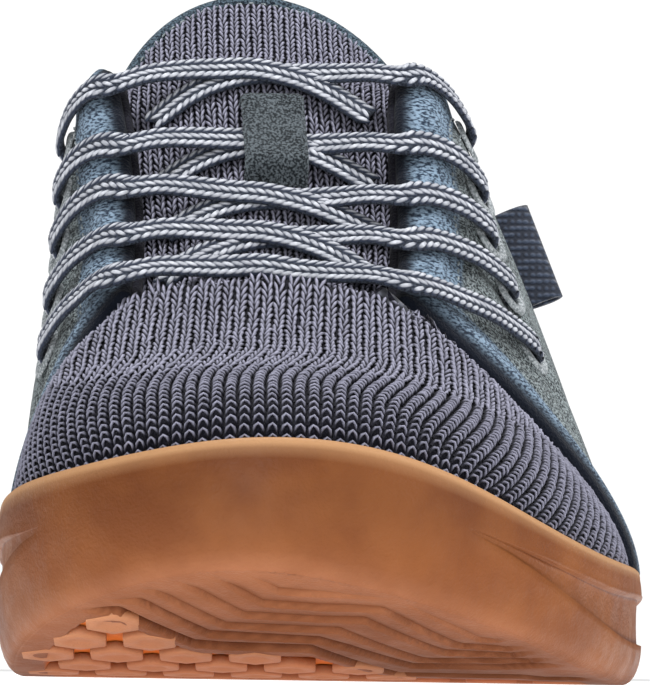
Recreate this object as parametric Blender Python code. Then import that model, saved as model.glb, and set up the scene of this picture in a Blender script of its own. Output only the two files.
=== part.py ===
"""Left barefoot shoe, EU 42, in metres: toe at -Y, heel at +Y, outer side at +X, floor at Z 0."""

import math

import bmesh
import bpy
import numpy as np

# Driving sizes of the last
LENGTH = 0.280
BALL_WIDTH = 0.106
INSTEP_HEIGHT = 0.106
HEEL_HEIGHT = 0.076
BUMPER_HEIGHT = 0.036

# Outsole
TOE_SPRING = 0.018
TOE_SPRING_RUN = 0.078
HEEL_SPRING = 0.0012
HEEL_SPRING_RUN = 0.032
WEB = 0.0030
LUG_HEIGHT = 0.0017
LUG_WIDTH = 0.0083
LUG_PITCH = 0.0110
SIDE_WALL = 0.0031
SIDE_STEP = 0.0008
SIDE_ROUND = 0.0004
RIM_WIDTH = 0.0080
LIP = 0.0006
CUP_TUCK = 0.0030

# Walls, layers and clearances
GAP = 0.0003
INSOLE = 0.0030
KNIT_WALL = 0.0022
COLLAR_WALL = 0.0038
SUEDE = 0.0016
SUEDE_FOLD = 0.0010
COLLAR_ROLL = 0.0025

# Tongue and its trims
TONGUE_THICKNESS = 0.0030
TONGUE_DEPTH = 0.0032
TONGUE_ROOT = 0.0080
TONGUE_TOP = 0.0195
BINDING_RADIUS = 0.0016
KEEPER_WIDTH = 0.0110
KEEPER_THICKNESS = 0.0012

# Lace and eyelets
LACE_WIDTH = 0.0060
LACE_THICKNESS = 0.0015
EYELET_OUTER = 0.0085
EYELET_HOLE = 0.0046
EYELET_THICKNESS = 0.0006
PUNCH_REACH = 0.0060

# Side label
LABEL_LENGTH = 0.0185
LABEL_REACH = 0.0052
LABEL_THICKNESS = 0.0024
LABEL_WALL = 0.0007
LABEL_LIFT = 0.0004

# Shares without a unit. The fold's band is in stations; collar, roll and lugs are shares of LENGTH from
# the toe; padding is a share of the wall's rows; the rest are shares up or across the throat.
SHARES = {
    "fold_band": 0.12,
    "collar_from": 0.50, "collar_run": 0.10,
    "padding_from": 0.35, "padding_run": 0.35,
    "roll_from": 0.47, "roll_run": 0.06,
    "arch": 0.36,
    "tongue_lap": 0.10, "tongue_round": 0.88,
    "lace_sink": 0.30, "lace_cover": 0.7,
    "keeper_front": 0.51, "keeper_back": 0.76, "keeper_across": 0.555, "keeper_ramp": 0.10,
    "label_up": 0.84, "label_level": 0.555,
}
LUG_ZONES = ((0.15, 0.36), (0.80, 0.94))

# Outline of the sole's side: insets as shares of SIDE_WALL or SIDE_STEP, heights as shares of the side.
SIDE_SHARES = {
    "foot_inset": 0.35, "foot_height": 0.09,
    "shoulder_inset": 0.20, "shoulder_height": 0.75,
    "lip_outer": 0.15, "lip_inner": 0.50,
}

# Mesh fineness
COLUMNS_PER_STATION = 3
WALL_ROWS = (0.0, 0.15, 0.32, 0.50, 0.68, 0.85, 1.0)
TUCK_ROWS = (-1.0, -0.5)
ACROSS = 4
TONGUE_UPS = (0.12, 0.24, 0.36, 0.48, 0.60, 0.74)
TONGUE_TURNS = (0, 22, 42, 60, 74)
EYELET_STEPS = (0.0, 0.42, 0.82)
BAR_STEPS = (0.0, 0.11, 0.22, 0.36, 0.50, 0.64, 0.78, 0.89, 1.0)
BAND_STEPS = (0.0, 0.11, 0.22, 0.36, 0.50, 0.65, 0.78, 0.90)
KEEPER_STEPS = (0.0, 0.04, 0.10, 0.50, 0.90, 0.96, 1.0)

# Stations round the last, heel to toe on the inner side and back on the outer side.
# along and rim_along are shares of LENGTH from the toe; across, rim_across, bulge and reach are shares
# of half of BALL_WIDTH; of_heel is a share of HEEL_HEIGHT; of_instep, rise and drop are shares of
# INSTEP_HEIGHT. A section leaves the sole by (bulge, rise) and meets the rim by (reach, drop).
STATION_COLUMNS = ("name", "along", "across", "rim_along", "rim_across", "of_heel", "of_instep",
                   "bulge", "rise", "reach", "drop")
STATIONS = (
    ("heel_back", 1.000, -0.08, 0.971, -0.08, 1.00, 0.00, 0.075, 0.21, -0.075, 0.17),
    ("heel_medial", 0.946, -0.59, 0.936, -0.34, 0.96, 0.00, 0.057, 0.19, 0.02, 0.17),
    ("heel_side_medial", 0.839, -0.74, 0.843, -0.55, 0.91, 0.00, 0.03, 0.17, 0.06, 0.15),
    ("ankle_medial", 0.707, -0.73, 0.696, -0.66, 0.90, 0.00, 0.05, 0.19, 0.04, 0.13),
    ("arch_medial", 0.589, -0.74, 0.571, -0.72, 0.50, 0.45, 0.075, 0.23, 0.11, 0.13),
    ("instep_medial", 0.479, -0.82, 0.479, -0.726, 0.00, 1.00, 0.10, 0.27, 0.21, 0.075),
    ("midfoot_medial", 0.379, -0.934, 0.379, -0.632, 0.00, 0.783, 0.10, 0.21, 0.26, 0.057),
    ("ball_medial", 0.243, -0.996, 0.279, -0.613, 0.00, 0.594, 0.00, 0.11, 0.16, 0.075),
    ("bigtoe_side", 0.129, -0.953, 0.270, -0.528, 0.00, 0.604, 0.00, 0.11, 0.32, 0.094),
    ("bigtoe_corner", 0.043, -0.717, 0.265, -0.377, 0.00, 0.613, 0.01, 0.12, 0.60, 0.15),
    ("toe_tip", 0.000, -0.264, 0.264, -0.189, 0.00, 0.623, 0.02, 0.13, 0.58, 0.18),
    ("toe_front", 0.029, 0.226, 0.266, 0.00, 0.00, 0.613, 0.02, 0.12, 0.57, 0.17),
    ("little_toe_front", 0.096, 0.623, 0.271, 0.113, 0.00, 0.604, 0.01, 0.11, 0.49, 0.14),
    ("little_toe_side", 0.196, 0.887, 0.275, 0.165, 0.00, 0.597, 0.00, 0.11, 0.38, 0.12),
    ("ball_lateral", 0.314, 1.000, 0.279, 0.205, 0.00, 0.59, 0.00, 0.12, 0.264, 0.10),
    ("midfoot_lateral", 0.421, 0.972, 0.379, 0.210, 0.00, 0.783, 0.00, 0.18, 0.32, 0.047),
    ("instep_lateral", 0.529, 0.877, 0.479, 0.245, 0.00, 1.00, -0.04, 0.26, 0.225, 0.057),
    ("arch_lateral", 0.621, 0.764, 0.571, 0.472, 0.50, 0.43, 0.02, 0.21, 0.13, 0.113),
    ("ankle_lateral", 0.725, 0.680, 0.696, 0.528, 0.855, 0.00, 0.047, 0.17, 0.04, 0.12),
    ("heel_side_lateral", 0.843, 0.613, 0.843, 0.396, 0.88, 0.00, 0.03, 0.17, 0.057, 0.15),
    ("heel_lateral", 0.943, 0.443, 0.936, 0.189, 0.955, 0.00, 0.057, 0.19, 0.02, 0.17),
)

# The sole's side at the same stations: top is a share of BUMPER_HEIGHT, upper_line and lower_line are
# shares of the side's own height, and step is a share of SIDE_STEP.
SOLE_COLUMNS = ("name", "top", "upper_line", "lower_line", "step")
SOLE_SIDES = (
    ("heel_back", 0.56, 0.80, 0.36, 1.0),
    ("heel_medial", 0.53, 0.80, 0.36, 1.0),
    ("heel_side_medial", 0.47, 0.80, 0.36, 1.0),
    ("ankle_medial", 0.44, 0.80, 0.36, 1.0),
    ("arch_medial", 0.44, 0.80, 0.36, 1.0),
    ("instep_medial", 0.44, 0.80, 0.36, 1.0),
    ("midfoot_medial", 0.50, 0.80, 0.36, 1.0),
    ("ball_medial", 0.64, 0.78, 0.38, 1.0),
    ("bigtoe_side", 0.79, 0.74, 0.50, 0.6),
    ("bigtoe_corner", 0.89, 0.70, 0.56, 0.0),
    ("toe_tip", 1.00, 0.70, 0.56, 0.0),
    ("toe_front", 0.95, 0.70, 0.56, 0.0),
    ("little_toe_front", 0.71, 0.72, 0.54, 0.2),
    ("little_toe_side", 0.55, 0.75, 0.38, 1.0),
    ("ball_lateral", 0.50, 0.80, 0.36, 1.0),
    ("midfoot_lateral", 0.42, 0.80, 0.36, 1.0),
    ("instep_lateral", 0.42, 0.80, 0.36, 1.0),
    ("arch_lateral", 0.42, 0.80, 0.36, 1.0),
    ("ankle_lateral", 0.42, 0.80, 0.36, 1.0),
    ("heel_side_lateral", 0.45, 0.80, 0.36, 1.0),
    ("heel_lateral", 0.50, 0.80, 0.36, 1.0),
)

# Eyelets, front to back: share up the throat, and set back from the throat's edge on each side
# as shares of half of BALL_WIDTH.
EYELET_COLUMNS = ("number", "up_medial", "back_medial", "up_lateral", "back_lateral")
EYELETS = (
    (1, 0.34, 0.45, 0.37, 0.58),
    (2, 0.46, 0.42, 0.49, 0.48),
    (3, 0.60, 0.38, 0.59, 0.40),
    (4, 0.75, 0.35, 0.72, 0.38),
    (5, 0.94, 0.30, 0.99, 0.29),
)

# Laces, front to back: share up the throat where a band leaves the inner and the outer edge, at its
# middle, and where a crossing band dips low at the far edge.
LACE_COLUMNS = ("number", "up_medial", "up_lateral", "up_middle", "up_far")
LACES = (
    (1, 0.07, 0.03, 0.07, None),
    (2, 0.32, 0.29, 0.30, 0.19),
    (3, 0.47, 0.45, 0.455, 0.395),
    (4, 0.60, 0.60, 0.62, 0.55),
    (5, 0.81, 0.83, 0.85, 0.75),
)

UP = np.array((0.0, 0.0, 1.0))


def remove_everything():
    """Start from an empty scene."""
    for thing in list(bpy.data.objects):
        bpy.data.objects.remove(thing)


class ClosedSpline:
    """A smooth closed curve through rows of values, spaced by the chords of a plan."""

    def __init__(self, plan, rows):
        rows = np.asarray(rows, float)
        count = len(rows)
        self.steps = np.linalg.norm(np.roll(plan, -1, 0) - plan, axis=1)
        system = np.zeros((count, count))
        right = np.zeros_like(rows)
        for i in range(count):
            before, after = self.steps[i - 1], self.steps[i]
            system[i, i - 1] = before
            system[i, i] = 2.0 * (before + after)
            system[i, (i + 1) % count] = after
            ahead = (rows[(i + 1) % count] - rows[i]) / after
            behind = (rows[i] - rows[i - 1]) / before
            right[i] = 6.0 * (ahead - behind)
        self.bends = np.linalg.solve(system, right)
        self.rows = rows

    def at(self, station):
        """Values at a station number, where 2.5 lies halfway between rows 2 and 3."""
        count = len(self.rows)
        station = np.asarray(station, float) % count
        low = np.minimum(station.astype(int), count - 1)
        high = (low + 1) % count
        part = (station - low)[..., None]
        step = self.steps[low][..., None]
        rest = 1.0 - part
        straight = rest * self.rows[low] + part * self.rows[high]
        bend = (rest**3 - rest) * self.bends[low] + (part**3 - part) * self.bends[high]
        return straight + bend * step**2 / 6.0


def column(table, names, name):
    """One named column of a table."""
    return np.array([row[names.index(name)] for row in table])


def station(name):
    """Number of a named station."""
    return [row[0] for row in STATIONS].index(name)


def last_splines():
    """The closed splines of the sole's outline, the rim and the shape of the sections between."""
    part = {name: column(STATIONS, STATION_COLUMNS, name) for name in STATION_COLUMNS[1:]}
    half = BALL_WIDTH / 2
    plan = np.column_stack((part["across"] * half, (part["along"] - 0.5) * LENGTH))
    outline = ClosedSpline(plan, plan)
    dense = outline.at(np.arange(0.0, len(STATIONS), 0.02))
    low, high = dense.min(0), dense.max(0)
    scale = np.array((BALL_WIDTH, LENGTH)) / (high - low)
    plan = (plan - (high + low) / 2) * scale
    rim_plan = np.column_stack((part["rim_across"] * half, (part["rim_along"] - 0.5) * LENGTH))
    rim_plan = (rim_plan - (high + low) / 2) * scale
    rim_height = part["of_heel"] * HEEL_HEIGHT + part["of_instep"] * INSTEP_HEIGHT
    rim = np.column_stack((rim_plan, rim_height))
    lean = np.column_stack((part["bulge"] * half, part["rise"] * INSTEP_HEIGHT,
                            part["reach"] * half, part["drop"] * INSTEP_HEIGHT))
    sides = np.column_stack([column(SOLE_SIDES, SOLE_COLUMNS, name) for name in SOLE_COLUMNS[1:]])
    sides = sides * np.array((BUMPER_HEIGHT, 1.0, 1.0, SIDE_STEP))
    return {
        "outline": ClosedSpline(plan, plan),
        "rim": ClosedSpline(plan, rim),
        "lean": ClosedSpline(plan, lean),
        "sides": ClosedSpline(plan, sides),
    }


LAST = last_splines()


def outward(stations):
    """Unit vectors that point out of the outline, level with the floor."""
    small = 0.01
    run = LAST["outline"].at(np.asarray(stations) + small) - LAST["outline"].at(np.asarray(stations) - small)
    run /= np.linalg.norm(run, axis=-1, keepdims=True)
    return np.stack((run[..., 1], -run[..., 0], np.zeros(run.shape[:-1])), axis=-1) * OUT_SIGN


def turning_sign():
    """+1 or -1, so that outward() points away from the middle of the sole."""
    run = LAST["outline"].at(0.01) - LAST["outline"].at(-0.01)
    return 1.0 if -run[0] > 0 else -1.0


OUT_SIGN = turning_sign()


def outline_point(stations):
    """The sole's widest outline, at floor level."""
    flat = LAST["outline"].at(stations)
    return np.concatenate((flat, np.zeros(flat.shape[:-1] + (1,))), axis=-1)


def tread_height(y):
    """Height of the tread over the floor: toe spring, flat middle and a slight heel spring."""
    from_toe = y + LENGTH / 2
    from_heel = LENGTH / 2 - y
    toe = np.clip((TOE_SPRING_RUN - from_toe) / TOE_SPRING_RUN, 0.0, None) ** 2 * TOE_SPRING
    heel = np.clip((HEEL_SPRING_RUN - from_heel) / HEEL_SPRING_RUN, 0.0, None) ** 2 * HEEL_SPRING
    return toe + heel


def floor_height(y):
    """Height of the cup's floor."""
    return tread_height(y) + LUG_HEIGHT + WEB


def sole_top(stations):
    """Height of the cup's edge."""
    return LAST["sides"].at(stations)[..., 0]


def feather(stations):
    """Where the upper leaves the cup, at the height of its edge."""
    point = outline_point(stations) - outward(stations) * SIDE_WALL
    point[..., 2] = sole_top(stations)
    return point


def wall_point(stations, rows):
    """The upper's outer surface: rows 0 to 1 from the cup's edge to the rim, -1 to 0 inside the cup."""
    stations, rows = np.broadcast_arrays(np.asarray(stations, float), np.asarray(rows, float))
    out = outward(stations)
    foot = feather(stations)
    rim = LAST["rim"].at(stations)
    bulge, rise, reach, drop = np.moveaxis(LAST["lean"].at(stations), -1, 0)
    first = foot + out * bulge[..., None] + UP * rise[..., None]
    last = rim + out * reach[..., None] - UP * drop[..., None]
    up = np.clip(rows, 0.0, None)[..., None]
    rest = 1.0 - up
    wall = rest**3 * foot + 3 * rest**2 * up * first + 3 * rest * up**2 * last + up**3 * rim
    down = np.clip(-rows, 0.0, None) * math.pi / 2
    base = floor_height((foot - out * CUP_TUCK)[..., 1]) + GAP
    tuck = -out * (CUP_TUCK * (1.0 - np.cos(down)))[..., None]
    fall = -UP * ((foot[..., 2] - base) * np.sin(down))[..., None]
    return wall + tuck + fall


def wall_normal(stations, rows):
    """Unit normal of the upper's outer surface, out of the shoe."""
    stations, rows = np.broadcast_arrays(np.asarray(stations, float), np.asarray(rows, float))
    small = 0.004
    low = np.maximum(rows - small, -1.0)
    high = np.minimum(rows + small, 1.0)
    rising = wall_point(stations, high) - wall_point(stations, low)
    round_ = wall_point(stations + small, rows) - wall_point(stations - small, rows)
    normal = np.cross(rising, round_) * -OUT_SIGN
    return normal / np.linalg.norm(normal, axis=-1, keepdims=True)


def wall_thickness(stations, rows):
    """The knit is thin at the toe, and padded towards the collar."""
    rim = LAST["rim"].at(stations)
    from_toe = rim[..., 1] + LENGTH / 2
    collar = np.clip((from_toe / LENGTH - SHARES["collar_from"]) / SHARES["collar_run"], 0.0, 1.0)
    high = np.clip((np.asarray(rows) - SHARES["padding_from"]) / SHARES["padding_run"], 0.0, 1.0)
    return KNIT_WALL + (COLLAR_WALL - KNIT_WALL) * collar * high


def material(name, colour, roughness, metallic=0.0):
    """A Principled material with one colour."""
    made = bpy.data.materials.new(name)
    made.use_nodes = True
    shader = made.node_tree.nodes["Principled BSDF"]
    shader.inputs["Base Color"].default_value = (*colour, 1.0)
    shader.inputs["Roughness"].default_value = roughness
    shader.inputs["Metallic"].default_value = metallic
    return made


def add_part(name, points, faces, finish):
    """One closed solid as an object, with its faces turned outwards."""
    mesh = bpy.data.meshes.new(name)
    mesh.from_pydata([tuple(map(float, point)) for point in points], [], faces)
    shape = bmesh.new()
    shape.from_mesh(mesh)
    bmesh.ops.recalc_face_normals(shape, faces=shape.faces)
    shape.to_mesh(mesh)
    shape.free()
    mesh.materials.append(finish)
    part = bpy.data.objects.new(name, mesh)
    bpy.context.collection.objects.link(part)
    return part


def cut_or_join(part, tools, operation):
    """Apply one exact Boolean between a part and each tool, and delete the tools."""
    for tool in tools:
        tool.hide_render = True
        tool.display_type = "WIRE"
        change = part.modifiers.new("Boolean", "BOOLEAN")
        change.solver = "EXACT"
        change.operation = operation
        change.object = tool
    bpy.context.view_layer.update()
    graph = bpy.context.evaluated_depsgraph_get()
    done = bpy.data.meshes.new_from_object(part.evaluated_get(graph))
    part.modifiers.clear()
    old = part.data
    part.data = done
    bpy.data.meshes.remove(old)
    for tool in tools:
        bpy.data.objects.remove(tool)
    return part


def tube_faces(rings, sides, closed_along):
    """Triangles between rings of points, with flat ends unless the rings close on themselves."""
    faces = []
    last = rings if closed_along else rings - 1
    for i in range(last):
        after = (i + 1) % rings
        for j in range(sides):
            turn = (j + 1) % sides
            a, b = i * sides + j, i * sides + turn
            c, d = after * sides + turn, after * sides + j
            faces += [(a, b, c), (a, c, d)]
    if not closed_along:
        faces.append(tuple(range(sides)))
        faces.append(tuple((rings - 1) * sides + j for j in range(sides)))
    return faces


def patch_faces(columns, rows):
    """Triangles of an open grid numbered column by column."""
    faces = []
    for i in range(columns - 1):
        for j in range(rows - 1):
            a, b = i * rows + j, i * rows + j + 1
            c, d = (i + 1) * rows + j + 1, (i + 1) * rows + j
            faces += [(a, b, c), (a, c, d)]
    return faces


def shell_part(name, outer, inner, finish):
    """A closed sheet between two grids of points with the same columns and rows."""
    columns, rows = outer.shape[:2]
    count = columns * rows
    top = patch_faces(columns, rows)
    bottom = [tuple(count + k for k in face) for face in top]
    edge = [i * rows for i in range(columns)]
    edge += [(columns - 1) * rows + j for j in range(1, rows)]
    edge += [i * rows + rows - 1 for i in range(columns - 2, -1, -1)]
    edge += [j for j in range(rows - 2, 0, -1)]
    side = []
    for k, here in enumerate(edge):
        there = edge[(k + 1) % len(edge)]
        side += [(here, there, count + there), (here, count + there, count + here)]
    points = np.concatenate((outer.reshape(-1, 3), inner.reshape(-1, 3)))
    return add_part(name, points, top + bottom + side, finish)


def ring_stations():
    """Stations of the columns that the upper, quarters, outsole and insole share."""
    even = np.arange(len(STATIONS) * COLUMNS_PER_STATION) / COLUMNS_PER_STATION
    band = SHARES["fold_band"]
    folds = (station("ball_medial") - band, station("ball_lateral") + band)
    return np.sort(np.append(even, folds))


def rung_points(ring, height):
    """Points across the sole between the two sides of a ring, each ACROSS steps wide."""
    half = len(ring) // 2
    grid = np.zeros((half - 1, ACROSS - 1, 3))
    for i in range(1, half):
        left, right = ring[i], ring[len(ring) - i]
        for j in range(1, ACROSS):
            grid[i - 1, j - 1] = left + (right - left) * j / ACROSS
    grid[..., 2] = height(grid[..., 1])
    return grid


def ladder_faces(ring, first_inside, flip_centre):
    """Triangles that fill a ring of points, rung by rung, from the heel to the toe."""
    count = len(ring)
    half = count // 2

    def rung(i):
        inside = [first_inside + (i - 1) * (ACROSS - 1) + j for j in range(ACROSS - 1)]
        return [ring[i], *inside, ring[(count - i) % count]]

    faces = []
    for j in range(ACROSS):
        near = rung(1)
        faces.append((ring[0], near[j], near[j + 1]))
    for i in range(1, half - 1):
        here, there = rung(i), rung(i + 1)
        for j in range(ACROSS):
            faces += [(here[j], there[j], there[j + 1]), (here[j], there[j + 1], here[j + 1])]
    near = rung(half - 1)
    if count % 2:
        tip = [ring[half], ring[half + 1]]
        last = [near[0], tip[0], tip[1], near[-1]]
        faces.append((last[0], last[1], near[1]))
        for j in range(1, ACROSS - 1):
            faces.append((near[j], last[1] if j < flip_centre else last[2], near[j + 1]))
        faces.append((near[flip_centre], last[1], last[2]))
        faces.append((near[ACROSS - 1], last[2], last[3]))
    else:
        for j in range(ACROSS):
            faces.append((near[j], ring[half], near[j + 1]))
    return faces


def outsole_rows(stations):
    """Rings of the outsole from the middle of its underside, round its side, to its inner floor."""
    line = outline_point(stations)
    out = outward(stations)
    top, upper, lower, step = np.moveaxis(LAST["sides"].at(stations), -1, 0)
    base = tread_height(line[:, 1])
    side = top - base

    def ring(inset, height):
        point = line - out * np.asarray(inset)[..., None] * np.ones((len(line), 1))
        point[:, 2] = height
        return point

    def tread_ring(inset, lift):
        point = ring(inset, 0.0)
        point[:, 2] = tread_height(point[:, 1]) + lift
        return point

    part = SIDE_SHARES
    rows = [
        tread_ring(RIM_WIDTH + LUG_HEIGHT / 2, LUG_HEIGHT),
        tread_ring(RIM_WIDTH, 0.0),
        tread_ring(SIDE_WALL, 0.0),
        ring(SIDE_WALL * part["foot_inset"], base + side * part["foot_height"]),
        ring(SIDE_STEP * part["shoulder_inset"], base + side * lower * part["shoulder_height"]),
        ring(0.0, base + side * lower),
        ring(step, base + side * lower + SIDE_ROUND),
        ring(step, base + side * upper - SIDE_ROUND),
        ring(0.0, base + side * upper),
        ring(SIDE_WALL * part["lip_outer"], top - LIP),
        ring(SIDE_WALL * part["lip_inner"], top + LIP),
    ]
    edge = feather(stations) + out * GAP
    edge[:, 2] += LIP / 3
    rows.append(edge)
    for row in reversed(TUCK_ROWS):
        rows.append(wall_point(stations, row) + wall_normal(stations, row) * GAP)
    return rows


def make_outsole(finish):
    """The rubber cup: rim, side steps, toe bumper, inner wall, web and lugs."""
    stations = ring_stations()
    rows = outsole_rows(stations)
    count = len(stations)
    points = np.concatenate(rows)
    faces = []
    for k in range(len(rows) - 1):
        for i in range(count):
            after = (i + 1) % count
            a, b = k * count + i, k * count + after
            c, d = (k + 1) * count + after, (k + 1) * count + i
            faces += [(a, b, c), (a, c, d)]
    below = rung_points(rows[0], lambda y: tread_height(y) + LUG_HEIGHT)
    above = rung_points(rows[-1], floor_height)
    first = len(points)
    second = first + below.shape[0] * below.shape[1]
    last = (len(rows) - 1) * count
    faces += ladder_faces(list(range(count)), first, ACROSS // 2)
    faces += ladder_faces([last + i for i in range(count)], second, ACROSS // 2)
    points = np.concatenate((points, below.reshape(-1, 3), above.reshape(-1, 3)))
    cup = add_part("outsole", points, faces, finish)
    lugs = make_lugs(rows[0], finish)
    return cut_or_join(cup, [lugs], "UNION")


def make_lugs(field, finish):
    """Hexagonal lugs on a honeycomb, under the forefoot and the heel."""
    radius = LUG_WIDTH / math.sqrt(3)
    clear = radius + LUG_HEIGHT / 2
    rows_apart = LUG_PITCH * math.sqrt(3) / 2
    points, faces = [], []
    for row in range(-math.ceil(LENGTH / rows_apart), math.ceil(LENGTH / rows_apart)):
        y = row * rows_apart
        share = y / LENGTH + 0.5
        if not any(low <= share <= high for low, high in LUG_ZONES):
            continue
        for place in range(-math.ceil(BALL_WIDTH / LUG_PITCH), math.ceil(BALL_WIDTH / LUG_PITCH)):
            x = (place + 0.5 * (row % 2)) * LUG_PITCH
            if not inside(field, x, y, clear):
                continue
            first = len(points)
            for lift in (0.0, LUG_HEIGHT + WEB / 2):
                for corner in range(6):
                    angle = math.radians(60 * corner + 30)
                    px, py = x + radius * math.cos(angle), y + radius * math.sin(angle)
                    points.append((px, py, tread_height(py) + lift))
            faces.append(tuple(first + k for k in (5, 4, 3, 2, 1, 0)))
            faces.append(tuple(first + 6 + k for k in range(6)))
            for k in range(6):
                turn = (k + 1) % 6
                faces.append((first + k, first + turn, first + 6 + turn, first + 6 + k))
    return add_part("lug_joiner", points, faces, finish)


def inside(ring, x, y, clear):
    """True where a point lies inside a ring and at least clear away from it."""
    a = ring[:, :2]
    b = np.roll(a, -1, 0)
    point = np.array((x, y))
    run = b - a
    part = np.clip(((point - a) * run).sum(1) / (run**2).sum(1), 0.0, 1.0)
    if np.linalg.norm(a + run * part[:, None] - point, axis=1).min() < clear:
        return False
    crosses = (a[:, 1] > y) != (b[:, 1] > y)
    with np.errstate(divide="ignore", invalid="ignore"):
        at = a[:, 0] + (y - a[:, 1]) / (b[:, 1] - a[:, 1]) * (b[:, 0] - a[:, 0])
    return bool((crosses & (at > x)).sum() % 2)


def make_insole(finish):
    """A flat footbed that fills the floor inside the upper."""
    stations = ring_stations()
    out = outward(stations)
    foot = wall_point(stations, -1.0) - out * (KNIT_WALL + GAP)
    low = foot.copy()
    low[:, 2] = floor_height(low[:, 1]) + GAP
    high = low.copy()
    high[:, 2] += INSOLE
    count = len(stations)
    below = rung_points(low, lambda y: floor_height(y) + GAP)
    above = rung_points(high, lambda y: floor_height(y) + GAP + INSOLE)
    faces = []
    for i in range(count):
        after = (i + 1) % count
        faces += [(i, after, count + after), (i, count + after, count + i)]
    first = 2 * count
    second = first + below.shape[0] * below.shape[1]
    faces += ladder_faces(list(range(count)), first, ACROSS // 2)
    faces += ladder_faces([count + i for i in range(count)], second, ACROSS // 2)
    points = np.concatenate((low, high, below.reshape(-1, 3), above.reshape(-1, 3)))
    return add_part("insole", points, faces, finish)


def make_upper(finish):
    """The hollow knitted wall, open at the collar, the throat and underneath."""
    stations = ring_stations()
    rows = TUCK_ROWS + WALL_ROWS
    rings = []
    for row in rows:
        rings.append(wall_point(stations, row))
    for row in reversed(rows):
        thick = wall_thickness(stations, row)
        inner = wall_point(stations, row) - wall_normal(stations, row) * thick[:, None]
        if row < 0:
            inner = wall_point(stations, row) - outward(stations) * KNIT_WALL
        rings.append(inner)
    points = np.concatenate(rings)
    faces = tube_faces(len(rings), len(stations), True)
    return add_part("upper", points, faces, finish)


def quarter_grid(first, last, lift):
    """Points of a quarter's surface at a height over the upper, thicker at its folded edges."""
    ring = ring_stations()
    stations = [*ring[(ring >= first) & (ring < last)], last]
    seam = GAP / 2
    out = []
    for number in stations:
        rim = LAST["rim"].at(number)
        from_toe = rim[1] / LENGTH + 0.5
        collar = np.clip((from_toe - SHARES["roll_from"]) / SHARES["roll_run"], 0.0, 1.0)
        low = (LIP + GAP) / (3 * max(LAST["lean"].at(number)[1], 0.001))
        rise = np.linalg.norm(wall_point(number, 1.0) - wall_point(number, 0.9)) / 0.1
        high = 1.0 - collar * COLLAR_ROLL / rise
        rows = np.concatenate(([low], WALL_ROWS[1:-1], [high]))
        out.append([wall_point(number, row) + wall_normal(number, row) * lift for row in rows])
    grid = np.array(out)
    back = 0 if first == 0 else -1
    grid[back, :, 0] += seam if first else -seam
    return grid


def make_quarter(name, first, last, eyelets, finish):
    """A suede overlay from the back seam to the front edge, with its row of lace holes."""
    outer = quarter_grid(first, last, GAP + SUEDE)
    inner = quarter_grid(first, last, GAP)
    front = -1 if first == 0 else 0
    outer[front] += (outer[front] - inner[front]) / SUEDE * SUEDE_FOLD
    quarter = shell_part(name, outer, inner, finish)
    return cut_or_join(quarter, [make_punch(eyelets)], "DIFFERENCE")


def throat_station(side, up):
    """Station of the throat's edge at a share of its way up."""
    names = ("ball", "midfoot", "instep")
    numbers = [station(f"{name}_{side}") for name in names]
    return np.interp(up, (0.0, 0.5, 1.0), numbers)


def eyelet_frames(side):
    """Centre and normal of each eyelet of one side, on the upper's outer surface."""
    frames = []
    for row in EYELETS:
        up = row[EYELET_COLUMNS.index(f"up_{side}")]
        back = row[EYELET_COLUMNS.index(f"back_{side}")] * BALL_WIDTH / 2
        number = throat_station(side, up)
        rows = np.linspace(1.0, 0.3, 71)
        path = wall_point(number, rows)
        walked = np.concatenate(([0.0], np.cumsum(np.linalg.norm(np.diff(path, axis=0), axis=1))))
        level = float(np.interp(back, walked, rows))
        frames.append((wall_point(number, level), wall_normal(number, level), (number, level)))
    return frames


def wall_spot(start, shift):
    """Station and row of the surface point that lies a small shift away from a start."""
    spot = np.array(start, float)
    home = wall_point(*start)
    small = 0.01
    for _ in range(3):
        here = wall_point(*spot)
        along = (wall_point(spot[0] + small, spot[1]) - here) / small
        rising = (wall_point(spot[0], spot[1] + small) - here) / small
        step = np.linalg.lstsq(np.column_stack((along, rising)), home + shift - here, rcond=None)[0]
        spot += step
        spot[1] = min(spot[1], 1.0)
    return spot


def across_pair(normal):
    """Two unit vectors square to a normal."""
    first = np.cross(normal, UP)
    first /= np.linalg.norm(first)
    return first, np.cross(normal, first)


def disc_points(centre, normal, radius, sides):
    """A round of points square to a normal."""
    first, second = across_pair(normal)
    angles = np.arange(sides) * 2 * math.pi / sides
    return [centre + (first * math.cos(a) + second * math.sin(a)) * radius for a in angles]


def make_punch(frames):
    """The punch that opens one row of lace holes through suede and knit."""
    sides = 8
    points, faces = [], []
    for centre, normal, _ in frames:
        first = len(points)
        for height in (-PUNCH_REACH, PUNCH_REACH):
            points += disc_points(centre + normal * height, normal, EYELET_HOLE / 2, sides)
        faces += [tuple(first + k for k in face) for face in tube_faces(2, sides, False)]
    return add_part("punch", points, faces, None)


def make_eyelets(side, frames, finish):
    """Flat rings that lie on the quarter round each lace hole."""
    sides = 10
    low = GAP + SUEDE + GAP
    high = low + EYELET_THICKNESS
    for number, (_, normal, start) in enumerate(frames, 1):
        rings = []
        corners = ((EYELET_HOLE, low), (EYELET_OUTER, low), (EYELET_OUTER, high), (EYELET_HOLE, high))
        for width, height in corners:
            for shift in disc_points(np.zeros(3), normal, width / 2, sides):
                spot = wall_spot(start, shift)
                rings.append(wall_point(*spot) + wall_normal(*spot) * height)
        add_part(f"eyelet_{side}_{number}", rings, tube_faces(4, sides, True), finish)


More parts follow.
